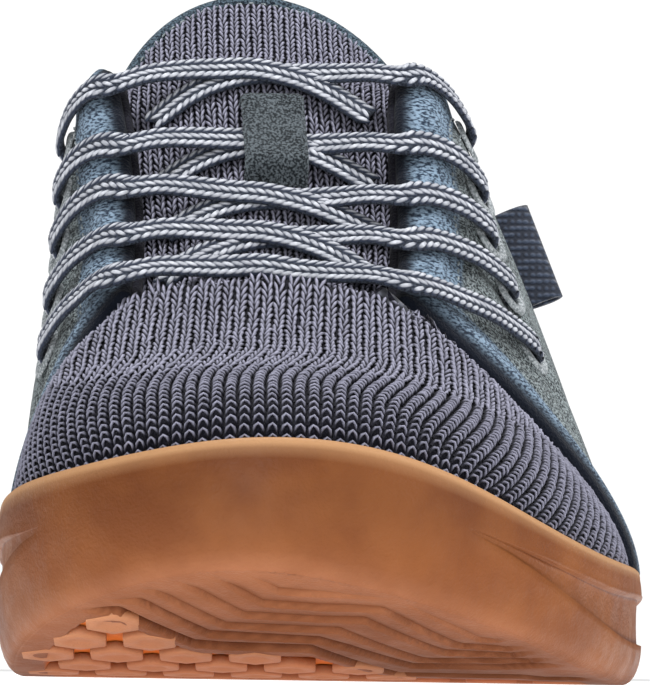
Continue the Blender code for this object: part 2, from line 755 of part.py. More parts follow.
def throat_frame(up):
    """Both edges of the throat at a share of its way up, with the slopes that cross it."""
    inside_up = float(np.clip(up, 0.0, 1.0))
    ends = []
    for side in ("medial", "lateral"):
        number = throat_station(side, inside_up)
        rim = LAST["rim"].at(number)
        out = outward(number)
        reach, drop = LAST["lean"].at(number)[2:]
        slope = -(out * reach - UP * drop)
        ends.append((rim, slope / np.linalg.norm(slope)))
    (left, left_slope), (right, right_slope) = ends
    return left, left_slope, right, right_slope


def throat_shift(up):
    """How far a point past either end of the throat moves on from that end."""
    if up > 1.0:
        run = throat_middle(1.0) - throat_middle(0.6)
        return run / np.linalg.norm(run) * (up - 1.0) * throat_length()
    if up < 0.0:
        number = station("toe_tip")
        reach, drop = LAST["lean"].at(number)[2:]
        run = outward(number) * reach - UP * drop
        return run / np.linalg.norm(run) * -up * throat_length()
    return np.zeros(3)


def throat_middle(up):
    """Halfway between the throat's two edges."""
    left, _, right, _ = throat_frame(up)
    return (left + right) / 2


def throat_length():
    """Length of the throat along its middle."""
    return float(np.linalg.norm(throat_middle(1.0) - throat_middle(0.0)))


def throat_arc(up, across, depth):
    """A point of the arch that bridges the throat; across runs from 0 at the inner edge to 1."""
    left, left_slope, right, right_slope = throat_frame(up)
    handle = np.linalg.norm(right - left) * SHARES["arch"]
    second = left + left_slope * handle
    third = right + right_slope * handle
    rest = 1.0 - across
    point = rest**3 * left + 3 * rest**2 * across * second
    point = point + 3 * rest * across**2 * third + across**3 * right
    level = (right - left) / np.linalg.norm(right - left)
    along = throat_middle(0.7) - throat_middle(0.3)
    slope = 3 * rest**2 * (second - left) + 6 * rest * across * (third - second)
    slope = slope + 3 * across**2 * (right - third)
    slope = slope / np.linalg.norm(slope) if across not in (0.0, 1.0) else level
    normal = np.cross(slope, along)
    normal /= np.linalg.norm(normal)
    if normal[2] < 0:
        normal = -normal
    return point - normal * depth + throat_shift(up), normal


def tongue_levels():
    """Shares up the throat and half widths of the tongue's rows, its free end rounded."""
    root = -TONGUE_ROOT / throat_length()
    top = 1.0 + TONGUE_TOP / throat_length()
    wide = 0.5 + SHARES["tongue_lap"]
    rows = [(root, 0.5), (0.0, 0.5 + SHARES["tongue_lap"] / 2)]
    rows += [(up, wide) for up in TONGUE_UPS]
    start = SHARES["tongue_round"]
    for turn in TONGUE_TURNS:
        angle = math.radians(turn)
        rows.append((start + (top - start) * math.sin(angle), wide * math.cos(angle)))
    return rows


def tongue_grid(lift):
    """The tongue's surface, lifted from its middle layer."""
    shares = np.linspace(-1.0, 1.0, 11)
    depth = KNIT_WALL + TONGUE_DEPTH + TONGUE_THICKNESS / 2
    grid = []
    for up, half in tongue_levels():
        row = []
        for share in shares:
            point, normal = throat_arc(up, 0.5 + half * share, depth)
            row.append(point + normal * lift)
        grid.append(row)
    return np.array(grid)


def make_tongue(finish):
    """The padded knitted tongue."""
    half = TONGUE_THICKNESS / 2
    return shell_part("tongue", tongue_grid(half), tongue_grid(-half), finish)


def make_binding(finish):
    """The rolled edge round the tongue's free end."""
    grid = tongue_grid(0.0)
    free = len(grid) - 3
    edge = [row[0] for row in grid[free:]] + list(grid[-1][1:-1]) + [row[-1] for row in grid[:free - 1:-1]]
    inner = [row[1] for row in grid[free:]] + list(grid[-2][1:-1]) + [row[-2] for row in grid[:free - 1:-1]]
    rings = []
    sides = 6
    for k, point in enumerate(edge):
        before, after = edge[max(k - 1, 0)], edge[min(k + 1, len(edge) - 1)]
        run = (after - before) / np.linalg.norm(after - before)
        away = point - inner[k]
        away -= run * away.dot(run)
        away /= np.linalg.norm(away)
        square = np.cross(run, away)
        centre = point + away * (BINDING_RADIUS + GAP)
        for turn in range(sides):
            angle = math.radians(360 / sides * turn + 30)
            rings.append(centre + (away * math.cos(angle) + square * math.sin(angle)) * BINDING_RADIUS)
    return add_part("tongue_binding", rings, tube_faces(len(edge), sides, False), finish)


def ribbon(name, path, normals, width, thickness, finish):
    """A flat band along a path, square to the given normals."""
    rings = []
    for k, point in enumerate(path):
        run = path[min(k + 1, len(path) - 1)] - path[max(k - 1, 0)]
        run /= np.linalg.norm(run)
        side = np.cross(run, normals[k])
        side /= np.linalg.norm(side)
        up = np.cross(side, run)
        for across, high in ((-1, -1), (1, -1), (1, 1), (-1, 1)):
            rings.append(point + side * across * width / 2 + up * high * thickness / 2)
    return add_part(name, rings, tube_faces(len(path), 4, False), finish)


def lace_point(up, across, lift):
    """A point over the tongue's top surface, lifted by a height."""
    point, normal = throat_arc(up, across, KNIT_WALL + TONGUE_DEPTH)
    return point + normal * lift, normal


def lace_row(number):
    """Shares up the throat of one lace, by column name."""
    return dict(zip(LACE_COLUMNS, LACES[number - 1]))


def lace_lifts():
    """Heights of a band over the tongue, at rest on it and at the throat's edge."""
    rest = LACE_THICKNESS / 2 + GAP * 4
    edge = TONGUE_DEPTH + KNIT_WALL + GAP + SUEDE + GAP * 3 + LACE_THICKNESS / 2
    return rest, edge


def eyelet_end(side, number, fold=0.0):
    """A band's points and normals from over its eyelet towards the throat's edge, over a fold there."""
    spot = np.array(eyelet_frames(side)[number - 1][2])
    edge = np.array((throat_station(side, lace_row(number)[f"up_{side}"]), 1.0))
    lift = GAP * 4 + SUEDE + EYELET_THICKNESS + LACE_THICKNESS / 2
    path, normals = [], []
    for share in EYELET_STEPS:
        place, level = spot + (edge - spot) * share
        normals.append(wall_normal(place, level))
        path.append(wall_point(place, level) + normals[-1] * (lift + fold * share))
    return path, normals


def lace_band(name, side, number, over, finish):
    """One band from an eyelet, over the throat, to the far edge, which it meets low."""
    row = lace_row(number)
    near = 0.0 if side == "medial" else 1.0
    rest, edge = lace_lifts()
    ups = np.polyfit((0.0, 0.5, BAND_STEPS[-1]), (row[f"up_{side}"], row["up_middle"], row["up_far"]), 2)
    path, normals = eyelet_end(side, number)
    for share in BAND_STEPS:
        sink = min(share / SHARES["lace_sink"], 1.0)
        across = near + (1 - 2 * near) * share
        point, normal = lace_point(np.polyval(ups, share), across, edge + (rest + over - edge) * sink)
        path.append(point)
        normals.append(normal)
    return ribbon(name, path, normals, LACE_WIDTH, LACE_THICKNESS, finish)


def make_lace_bar(finish):
    """The bottom bar, from the first inner eyelet to the first outer one."""
    row = lace_row(1)
    rest, edge = lace_lifts()
    rest, edge = rest + GAP, edge + SUEDE_FOLD + GAP * 2
    ups = np.polyfit((0.0, 0.5, 1.0), (row["up_medial"], row["up_middle"], row["up_lateral"]), 2)
    path, normals = eyelet_end("medial", 1, SUEDE_FOLD)
    for share in BAR_STEPS:
        sink = min(min(share, 1 - share) / SHARES["lace_sink"], 1.0)
        point, normal = lace_point(np.polyval(ups, share), share, edge + (rest - edge) * sink)
        path.append(point)
        normals.append(normal)
    last_path, last_normals = eyelet_end("lateral", 1, SUEDE_FOLD)
    path += last_path[::-1]
    normals += last_normals[::-1]
    return ribbon("lace_bar_1", path, normals, LACE_WIDTH, LACE_THICKNESS, finish)


def make_crossings(finish):
    """The four crossings, each of a band from the inner side over a band from the outer side."""
    lift = LACE_THICKNESS * SHARES["lace_cover"]
    for number in range(2, len(LACES) + 1):
        over = lace_band(f"lace_cross_{number}", "medial", number, lift, finish)
        under = lace_band("lace_under", "lateral", number, 0.0, finish)
        cut_or_join(over, [under], "UNION")


def make_keeper(finish):
    """The suede loop that holds the fourth crossing to the tongue."""
    laces = lace_lifts()[0] + LACE_THICKNESS * SHARES["lace_cover"] + LACE_THICKNESS / 2
    high = laces + GAP * 2 + KEEPER_THICKNESS / 2
    low = KEEPER_THICKNESS / 2 + GAP
    front, back = SHARES["keeper_front"], SHARES["keeper_back"]
    path, normals = [], []
    for share in KEEPER_STEPS:
        rise = min(min(share, 1 - share) / SHARES["keeper_ramp"], 1.0)
        up = front + (back - front) * share
        point, normal = lace_point(up, SHARES["keeper_across"], low + (high - low) * rise)
        path.append(point)
        normals.append(normal)
    return ribbon("lace_keeper", path, normals, KEEPER_WIDTH, KEEPER_THICKNESS, finish)


def make_label(finish):
    """A folded ribbon loop, open at both ends, that stands out from the outer quarter."""
    sides = 12
    start = (throat_station("lateral", SHARES["label_up"]), SHARES["label_level"])
    top = wall_point(*start)
    normal = wall_normal(*start)
    run = wall_point(start[0] - 0.3, start[1] - 0.12) - top
    run -= normal * run.dot(normal)
    run /= np.linalg.norm(run)
    flat = np.cross(normal, run)
    centre = top + normal * (GAP + SUEDE + GAP + LABEL_REACH / 2 + LABEL_LIFT)
    loops = []
    for share in (0.0, 0.5, 1.0):
        for wall in (0.0, LABEL_WALL):
            loop = []
            for turn in range(sides):
                angle = 2 * math.pi * turn / sides
                reach = (LABEL_REACH / 2 - wall) * math.cos(angle)
                width = (LABEL_THICKNESS / 2 - wall) * math.sin(angle)
                loop.append(centre + run * LABEL_LENGTH * (share - 0.5) + normal * reach + flat * width)
            loops.append(loop)
    order = loops[0::2] + loops[1::2][::-1]
    points = [point for loop in order for point in loop]
    return add_part("side_label", points, tube_faces(len(order), sides, True), finish)


def main():
    """Build every part of the shoe."""
    remove_everything()
    gum = material("gum_rubber", (0.50, 0.22, 0.09), 0.45)
    knit = material("knit", (0.16, 0.16, 0.22), 0.90)
    suede = material("suede", (0.10, 0.14, 0.17), 0.95)
    dark = material("dark_binding", (0.07, 0.10, 0.15), 0.90)
    white = material("lace", (0.60, 0.62, 0.66), 0.85)
    ring = material("eyelet", (0.45, 0.48, 0.50), 0.50)
    foam = material("footbed", (0.08, 0.08, 0.09), 0.95)
    frames = {side: eyelet_frames(side) for side in ("medial", "lateral")}
    make_outsole(gum)
    make_insole(foam)
    upper = make_upper(knit)
    cut_or_join(upper, [make_punch(frames[side]) for side in frames], "DIFFERENCE")
    count = len(STATIONS)
    make_quarter("quarter_medial", 0, station("ball_medial"), frames["medial"], suede)
    make_quarter("quarter_lateral", station("ball_lateral"), count, frames["lateral"], suede)
    for side in frames:
        make_eyelets(side, frames[side], ring)
    make_tongue(knit)
    make_binding(dark)
    make_lace_bar(white)
    make_crossings(white)
    make_keeper(suede)
    make_label(dark)


main()
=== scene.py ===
"""Looks of the left barefoot shoe: gum sole, knit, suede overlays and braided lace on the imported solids."""

import math

import bmesh
import bpy
import numpy as np
from mathutils import Matrix


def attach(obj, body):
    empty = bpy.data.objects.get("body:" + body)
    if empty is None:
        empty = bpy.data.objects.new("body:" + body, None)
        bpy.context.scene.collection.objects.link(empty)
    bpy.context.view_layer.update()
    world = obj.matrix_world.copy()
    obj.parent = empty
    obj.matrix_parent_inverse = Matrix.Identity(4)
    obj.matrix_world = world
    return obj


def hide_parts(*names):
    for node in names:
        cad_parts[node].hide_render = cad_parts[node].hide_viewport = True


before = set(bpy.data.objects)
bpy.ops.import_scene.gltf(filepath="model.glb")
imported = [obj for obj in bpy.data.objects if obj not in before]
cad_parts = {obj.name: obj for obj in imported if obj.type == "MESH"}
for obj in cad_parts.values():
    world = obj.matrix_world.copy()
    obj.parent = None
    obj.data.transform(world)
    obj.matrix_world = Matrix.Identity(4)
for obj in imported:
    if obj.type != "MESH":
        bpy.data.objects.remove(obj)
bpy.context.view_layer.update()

# Sizes of the last and the sole, the same as in the part
LENGTH = 0.280
BALL_WIDTH = 0.106
INSTEP_HEIGHT = 0.106
HEEL_HEIGHT = 0.076
BUMPER_HEIGHT = 0.036
TOE_SPRING = 0.018
TOE_SPRING_RUN = 0.078
HEEL_SPRING = 0.0012
HEEL_SPRING_RUN = 0.032
WEB = 0.0030
LUG_HEIGHT = 0.0017
LUG_WIDTH = 0.0083
LUG_PITCH = 0.0110
SIDE_WALL = 0.0031
SIDE_STEP = 0.0008
RIM_WIDTH = 0.0080
LIP = 0.0006
CUP_TUCK = 0.0030
GAP = 0.0003
INSOLE = 0.0030
KNIT_WALL = 0.0022
COLLAR_WALL = 0.0038
SUEDE = 0.0016
COLLAR_ROLL = 0.0025
TONGUE_THICKNESS = 0.0030
TONGUE_DEPTH = 0.0032
TONGUE_LAP = 0.10
TONGUE_ROOT = 0.0080
TONGUE_TOP = 0.0195
BINDING_RADIUS = 0.0016
KEEPER_WIDTH = 0.0110
KEEPER_THICKNESS = 0.0012
KEEPER_FRONT = 0.51
KEEPER_BACK = 0.76
KEEPER_ACROSS = 0.555
LACE_WIDTH = 0.0060
LACE_THICKNESS = 0.0015
EYELET_OUTER = 0.0085
EYELET_HOLE = 0.0046
EYELET_THICKNESS = 0.0006
LABEL_LENGTH = 0.0185
LABEL_REACH = 0.0052
LABEL_THICKNESS = 0.0024
LABEL_WALL = 0.0007
LABEL_LIFT = 0.0004
LABEL_UP = 0.84
LABEL_LEVEL = 0.555
LABEL_SEWN = 0.0022

# Knit, lace and stitches
WALE = 0.0021
WALE_DIGITS = 9
TONGUE_WALE = 0.93
COURSE = 0.00150
LOOP_HEIGHT = 0.0011
CREST_SHIFT = 0.0045
CREST_LEVEL = 0.46
COURSE_GROWTH = 0.9
LACE_SINK = 0.30
LACE_COVER = 0.7
LACE_FOLD = 0.0010
LACE_RIDGES = 3
LOBE_PITCH = 0.0016
LOBE_SLANT = 0.50
STITCH_PITCH = 0.0022
STITCH_LENGTH = 0.0011
STITCH_WIDTH = 0.00038
STITCH_LIFT = 0.0001

# Quarters: the eyestay band along the front and the throat
BAND_WIDTH = 0.0125
BAND_PUFF = 0.0011
EDGE_ROUND = 0.0012
SEAM_DEPTH = 0.00035

# Stations round the last: plan, rim and shape of each section, as in the part
STATIONS = (
    ("heel_back", 1.000, -0.08, 0.971, -0.08, 1.00, 0.00, 0.075, 0.21, -0.075, 0.17),
    ("heel_medial", 0.946, -0.59, 0.936, -0.34, 0.96, 0.00, 0.057, 0.19, 0.02, 0.17),
    ("heel_side_medial", 0.839, -0.74, 0.843, -0.55, 0.91, 0.00, 0.03, 0.17, 0.06, 0.15),
    ("ankle_medial", 0.707, -0.73, 0.696, -0.66, 0.90, 0.00, 0.05, 0.19, 0.04, 0.13),
    ("arch_medial", 0.589, -0.74, 0.571, -0.72, 0.50, 0.45, 0.075, 0.23, 0.11, 0.13),
    ("instep_medial", 0.479, -0.82, 0.479, -0.726, 0.00, 1.00, 0.10, 0.27, 0.21, 0.075),
    ("midfoot_medial", 0.379, -0.934, 0.379, -0.632, 0.00, 0.783, 0.10, 0.21, 0.26, 0.057),
    ("ball_medial", 0.243, -0.996, 0.279, -0.613, 0.00, 0.594, 0.00, 0.11, 0.16, 0.075),
    ("bigtoe_side", 0.129, -0.953, 0.270, -0.528, 0.00, 0.604, 0.00, 0.11, 0.32, 0.094),
    ("bigtoe_corner", 0.043, -0.717, 0.265, -0.377, 0.00, 0.613, 0.01, 0.12, 0.60, 0.15),
    ("toe_tip", 0.000, -0.264, 0.264, -0.189, 0.00, 0.623, 0.02, 0.13, 0.58, 0.18),
    ("toe_front", 0.029, 0.226, 0.266, 0.00, 0.00, 0.613, 0.02, 0.12, 0.57, 0.17),
    ("little_toe_front", 0.096, 0.623, 0.271, 0.113, 0.00, 0.604, 0.01, 0.11, 0.49, 0.14),
    ("little_toe_side", 0.196, 0.887, 0.275, 0.165, 0.00, 0.597, 0.00, 0.11, 0.38, 0.12),
    ("ball_lateral", 0.314, 1.000, 0.279, 0.205, 0.00, 0.59, 0.00, 0.12, 0.264, 0.10),
    ("midfoot_lateral", 0.421, 0.972, 0.379, 0.210, 0.00, 0.783, 0.00, 0.18, 0.32, 0.047),
    ("instep_lateral", 0.529, 0.877, 0.479, 0.245, 0.00, 1.00, -0.04, 0.26, 0.225, 0.057),
    ("arch_lateral", 0.621, 0.764, 0.571, 0.472, 0.50, 0.43, 0.02, 0.21, 0.13, 0.113),
    ("ankle_lateral", 0.725, 0.680, 0.696, 0.528, 0.855, 0.00, 0.047, 0.17, 0.04, 0.12),
    ("heel_side_lateral", 0.843, 0.613, 0.843, 0.396, 0.88, 0.00, 0.03, 0.17, 0.057, 0.15),
    ("heel_lateral", 0.943, 0.443, 0.936, 0.189, 0.955, 0.00, 0.057, 0.19, 0.02, 0.17),
)

# The sole's side at the same stations: top, upper line, lower line and step
SOLE_SIDES = (
    (0.56, 0.80, 0.36, 1.0), (0.53, 0.80, 0.36, 1.0), (0.47, 0.80, 0.36, 1.0), (0.44, 0.80, 0.36, 1.0),
    (0.44, 0.80, 0.36, 1.0), (0.44, 0.80, 0.36, 1.0), (0.50, 0.80, 0.36, 1.0), (0.64, 0.78, 0.38, 1.0),
    (0.79, 0.74, 0.50, 0.6), (0.89, 0.70, 0.56, 0.0), (1.00, 0.70, 0.56, 0.0), (0.95, 0.70, 0.56, 0.0),
    (0.71, 0.72, 0.54, 0.62), (0.55, 0.75, 0.38, 1.0), (0.50, 0.80, 0.36, 1.0), (0.42, 0.80, 0.36, 1.0),
    (0.42, 0.80, 0.36, 1.0), (0.42, 0.80, 0.36, 1.0), (0.42, 0.80, 0.36, 1.0), (0.45, 0.80, 0.36, 1.0),
    (0.50, 0.80, 0.36, 1.0),
)

# Eyelets, front to back: share up the throat and set back from its edge, inner side then outer side
EYELETS = {
    "medial": ((0.34, 0.45), (0.46, 0.42), (0.60, 0.38), (0.75, 0.35), (0.94, 0.30)),
    "lateral": ((0.37, 0.58), (0.49, 0.48), (0.59, 0.40), (0.72, 0.38), (0.99, 0.29)),
}

# Laces: shares up the throat where a band leaves the inner and outer edge, at its middle and its far end
LACES = (
    (0.07, 0.03, 0.07, None),
    (0.32, 0.29, 0.30, 0.19),
    (0.47, 0.45, 0.455, 0.395),
    (0.60, 0.60, 0.62, 0.55),
    (0.81, 0.83, 0.85, 0.75),
)

# Terraces under the toe, front to back: share of the carving's depth, then (share of half width, millimetres
# from the toe) along each edge
TERRACES = (
    (0.5, ((-0.155, -0.3), (-0.098, 6.1), (-0.014, 6.7), (0.167, 6.3), (0.315, 9.4), (0.415, 17.6),
           (0.491, 23.1), (0.528, 21.7))),
    (0.6, ((-0.266, 0.2), (-0.214, 4.9), (-0.132, 11.2), (-0.014, 11.7), (0.212, 12.4), (0.414, 27.2),
           (0.461, 31.3), (0.505, 31.2), (0.593, 26.8))),
    (0.6, ((-0.365, 1.0), (-0.313, 6.6), (-0.179, 16.0), (-0.013, 17.3), (0.17, 17.7), (0.388, 34.4),
           (0.413, 35.6), (0.538, 36.4), (0.667, 30.2))),
    (0.6, ((-0.542, 4.1), (-0.443, 6.3), (-0.234, 21.0), (-0.013, 22.5), (0.119, 22.6), (0.34, 38.3),
           (0.364, 39.6), (0.556, 41.0), (0.69, 33.0))),
    (0.6, ((-0.644, 6.5), (-0.586, 9.9), (-0.497, 11.2), (-0.289, 26.1), (0.046, 27.7), (0.291, 45.0),
           (0.319, 45.8), (0.617, 44.5), (0.745, 36.0))),
    (0.7, ((-0.677, 12.3), (-0.6, 15.3), (-0.537, 15.9), (-0.338, 30.8), (-0.012, 33.3), (0.077, 37.9),
           (0.269, 50.4), (0.532, 50.1), (0.71, 46.8), (0.82, 38.5))),
    (1.1, ((-0.775, 12.5), (-0.738, 17.2), (-0.693, 19.6), (-0.598, 20.9), (-0.383, 36.8), (-0.298, 37.9),
           (-0.036, 38.9), (0.048, 45.3), (0.233, 60.0), (0.603, 60.5), (0.673, 63.0), (0.80, 62.0),
           (0.87, 50.0))),
)
CARVING = 0.0017
SIDE_LINES = (13, 18)
SIDE_EDGE = 0.0004
TERRACE_RUN = 0.0055
TERRACE_EDGE = 0.0007
LUG_STRIP = 0.0035
PLATE_SUNK = 0.0008

# Soft creases: depth and half width in millimetres, then (station, row) at both ends
CREASES = (
    (0.9, 3.2, (5.9, 0.86), (6.5, 0.30)),
    (0.7, 2.8, (5.3, 0.70), (5.9, 0.22)),
    (0.8, 4.0, (3.9, 0.86), (4.2, 0.30)),
    (0.6, 3.4, (2.6, 0.80), (3.1, 0.35)),
    (0.9, 3.2, (15.1, 0.86), (14.6, 0.30)),
    (0.7, 2.8, (15.8, 0.66), (15.3, 0.20)),
    (0.8, 4.0, (17.2, 0.84), (16.9, 0.30)),
    (0.6, 3.4, (18.5, 0.80), (18.0, 0.35)),
)

# The photograph's camera: place before the toe, turn, tilt and roll, and its focal length in pixels
CAMERA_ACROSS = 0.0009
CAMERA_AWAY = 0.8378
CAMERA_HEIGHT = 0.0012
CAMERA_TURN = -0.0017
CAMERA_TILT = 0.0588
CAMERA_ROLL = 0.0153
FOCAL_PIXELS = 5536.6
PHOTO_HEIGHT = 695
SENSOR = 36.0

# Studio: half width of the floor, the world's light on things and to the eye, and each soft light's name,
# place, target, size and power
FLOOR_HALF = 6.0
WORLD_LIGHT = 0.30
WORLD_SEEN = 1.05
LIGHTS = (
    ("over", (0.0, -0.25, 1.3), (0.0, 0.0, 0.04), 0.6, 17.0),
    ("left_front", (-0.9, -0.9, 0.7), (0.0, -0.08, 0.06), 0.6, 1.5),
    ("right", (1.1, -0.3, 0.6), (0.0, -0.05, 0.06), 0.6, 5.0),
    ("low_front", (0.0, -1.9, 0.16), (0.0, -0.1, 0.0), 0.4, 11.0),
)

UP = np.array((0.0, 0.0, 1.0))
COUNT = len(STATIONS)
SIDES = ("medial", "lateral")


def unit(vectors):
    """Vectors with a length of one."""
    return vectors / np.linalg.norm(vectors, axis=-1, keepdims=True)


def smooth(value, low, high):
    """0 below low, 1 above high and a soft step between."""
    part = np.clip((np.asarray(value, float) - low) / (high - low), 0.0, 1.0)
    return part * part * (3.0 - 2.0 * part)


def turns(count):
    """Even angles round a circle."""
    return np.arange(count) * math.tau / count


def circle_round(normal, count):
    """Unit vectors evenly round a normal."""
    first = unit(np.cross(normal, UP))
    second = np.cross(normal, first)
    angles = turns(count)[:, None]
    return first * np.cos(angles) + second * np.sin(angles)


def lengths_along(points, least=0.0):
    """Distance of each point of a line from its first."""
    return np.concatenate(([0.0], np.cumsum(np.linalg.norm(np.diff(points, axis=0), axis=1) + least)))


def resample(steps, places, rows):
    """Rows of values known at some places, at other steps between them."""
    return np.stack([np.interp(steps, places, column) for column in rows.T], axis=-1)


def line_frame(points, normals):
    """Unit vectors along a line, to its side and square to both."""
    run = unit(np.gradient(points, axis=0))
    side = unit(np.cross(run, normals))
    return run, side, np.cross(side, run)


class ClosedSpline:
    """A smooth closed curve through rows of values, with its knots at the chords of a plan."""

    def __init__(self, plan, rows):
        rows = np.asarray(rows, float)
        count = len(rows)
        self.steps = np.linalg.norm(np.roll(plan, -1, 0) - plan, axis=1)
        system = np.zeros((count, count))
        right = np.zeros_like(rows)
        for i in range(count):
            before, after = self.steps[i - 1], self.steps[i]
            system[i, i - 1] = before
            system[i, i] = 2.0 * (before + after)
            system[i, (i + 1) % count] = after
            ahead = (rows[(i + 1) % count] - rows[i]) / after
            behind = (rows[i] - rows[i - 1]) / before
            right[i] = 6.0 * (ahead - behind)
        self.bends = np.linalg.solve(system, right)
        self.rows = rows

    def at(self, station):
        """Values at a station number, where 2.5 lies halfway between rows 2 and 3."""
        count = len(self.rows)
        station = np.asarray(station, float) % count
        low = np.minimum(station.astype(int), count - 1)
        high = (low + 1) % count
        part = (station - low)[..., None]
        step = self.steps[low][..., None]
        rest = 1.0 - part
        straight = rest * self.rows[low] + part * self.rows[high]
        bend = (rest**3 - rest) * self.bends[low] + (part**3 - part) * self.bends[high]
        return straight + bend * step**2 / 6.0


def last_splines():
    """The closed splines of the sole's outline, the rim and the shape of the sections between."""
    half = BALL_WIDTH / 2
    table = np.array([row[1:] for row in STATIONS])
    along, across, rim_along, rim_across, of_heel, of_instep, bulge, rise, reach, drop = table.T
    plan = np.column_stack((across * half, (along - 0.5) * LENGTH))
    dense = ClosedSpline(plan, plan).at(np.arange(0.0, COUNT, 0.02))
    low, high = dense.min(0), dense.max(0)
    scale = np.array((BALL_WIDTH, LENGTH)) / (high - low)
    plan = (plan - (high + low) / 2) * scale
    rim_plan = np.column_stack((rim_across * half, (rim_along - 0.5) * LENGTH))
    rim_plan = (rim_plan - (high + low) / 2) * scale
    rim = np.column_stack((rim_plan, of_heel * HEEL_HEIGHT + of_instep * INSTEP_HEIGHT))
    lean = np.column_stack((bulge * half, rise * INSTEP_HEIGHT, reach * half, drop * INSTEP_HEIGHT))
    sides = np.array(SOLE_SIDES) * np.array((BUMPER_HEIGHT, 1.0, 1.0, SIDE_STEP))
    return {name: ClosedSpline(plan, rows)
            for name, rows in (("outline", plan), ("rim", rim), ("lean", lean), ("sides", sides))}


LAST = last_splines()


def station(name):
    """Number of a named station."""
    return [row[0] for row in STATIONS].index(name)


def outward(stations):
    """Unit vectors that point out of the outline, level with the floor."""
    small = 0.01
    stations = np.asarray(stations)
    run = unit(LAST["outline"].at(stations + small) - LAST["outline"].at(stations - small))
    return np.stack((run[..., 1], -run[..., 0], np.zeros(run.shape[:-1])), axis=-1)


def outline_point(stations):
    """The sole's widest outline, at floor level."""
    flat = LAST["outline"].at(stations)
    return np.concatenate((flat, np.zeros(flat.shape[:-1] + (1,))), axis=-1)


def tread_height(y):
    """Height of the tread over the floor: toe spring, flat middle and a slight heel spring."""
    from_toe = y + LENGTH / 2
    from_heel = LENGTH / 2 - y
    toe = np.clip((TOE_SPRING_RUN - from_toe) / TOE_SPRING_RUN, 0.0, None) ** 2 * TOE_SPRING
    heel = np.clip((HEEL_SPRING_RUN - from_heel) / HEEL_SPRING_RUN, 0.0, None) ** 2 * HEEL_SPRING
    return toe + heel


def floor_height(y):
    """Height of the cup's floor."""
    return tread_height(y) + LUG_HEIGHT + WEB


def feather(stations):
    """Where the upper leaves the cup, at the height of its edge."""
    point = outline_point(stations) - outward(stations) * SIDE_WALL
    point[..., 2] = LAST["sides"].at(stations)[..., 0]
    return point


def wall_point(stations, rows):
    """The upper's outer surface: rows 0 to 1 from the cup's edge to the rim, -1 to 0 inside the cup."""
    stations, rows = np.broadcast_arrays(np.asarray(stations, float), np.asarray(rows, float))
    out = outward(stations)
    foot = feather(stations)
    rim = LAST["rim"].at(stations)
    bulge, rise, reach, drop = np.moveaxis(LAST["lean"].at(stations), -1, 0)
    first = foot + out * bulge[..., None] + UP * rise[..., None]
    last = rim + out * reach[..., None] - UP * drop[..., None]
    up = np.clip(rows, 0.0, None)[..., None]
    rest = 1.0 - up
    wall = rest**3 * foot + 3 * rest**2 * up * first + 3 * rest * up**2 * last + up**3 * rim
    down = np.clip(-rows, 0.0, None) * math.pi / 2
    base = floor_height((foot - out * CUP_TUCK)[..., 1]) + GAP
    tuck = -out * (CUP_TUCK * (1.0 - np.cos(down)))[..., None]
    fall = -UP * ((foot[..., 2] - base) * np.sin(down))[..., None]
    return wall + tuck + fall


def wall_normal(stations, rows):
    """Unit normal of the upper's outer surface, out of the shoe."""
    stations, rows = np.broadcast_arrays(np.asarray(stations, float), np.asarray(rows, float))
    small = 0.004
    above, below = np.minimum(rows + small, 1.0), np.maximum(rows - small, -1.0)
    rising = wall_point(stations, above) - wall_point(stations, below)
    around = wall_point(stations + small, rows) - wall_point(stations - small, rows)
    return unit(np.cross(around, rising))


def wall_thickness(stations, rows):
    """The knit is thin at the toe, and padded towards the collar."""
    from_toe = LAST["rim"].at(stations)[..., 1] + LENGTH / 2
    collar = np.clip((from_toe / LENGTH - 0.50) / 0.10, 0.0, 1.0)
    high = np.clip((np.asarray(rows) - 0.35) / 0.35, 0.0, 1.0)
    return KNIT_WALL + (COLLAR_WALL - KNIT_WALL) * collar * high


def throat_station(side, up):
    """Station of the throat's edge at a share of its way up."""
    numbers = [station(f"{name}_{side}") for name in ("ball", "midfoot", "instep")]
    return np.interp(up, (0.0, 0.5, 1.0), numbers)


def throat_edge(side, up):
    """The throat's edge at shares of its way up, with the slope that crosses it."""
    number = throat_station(side, np.clip(up, 0.0, 1.0))
    reach, drop = np.moveaxis(LAST["lean"].at(number)[..., 2:], -1, 0)
    slope = UP * drop[..., None] - outward(number) * reach[..., None]
    return LAST["rim"].at(number), unit(slope)


def throat_middle(up):
    """Halfway between the throat's two edges."""
    return (throat_edge("medial", up)[0] + throat_edge("lateral", up)[0]) / 2


THROAT_LENGTH = float(np.linalg.norm(throat_middle(1.0) - throat_middle(0.0)))


def throat_shift(up):
    """How far a point past either end of the throat moves on from that end."""
    run = unit(throat_middle(1.0) - throat_middle(0.6))
    tip = station("toe_tip")
    reach, drop = LAST["lean"].at(tip)[2:]
    front = unit(outward(tip) * reach - UP * drop)
    above = np.clip(up - 1.0, 0.0, None)[..., None]
    below = np.clip(-up, 0.0, None)[..., None]
    return (run * above + front * below) * THROAT_LENGTH


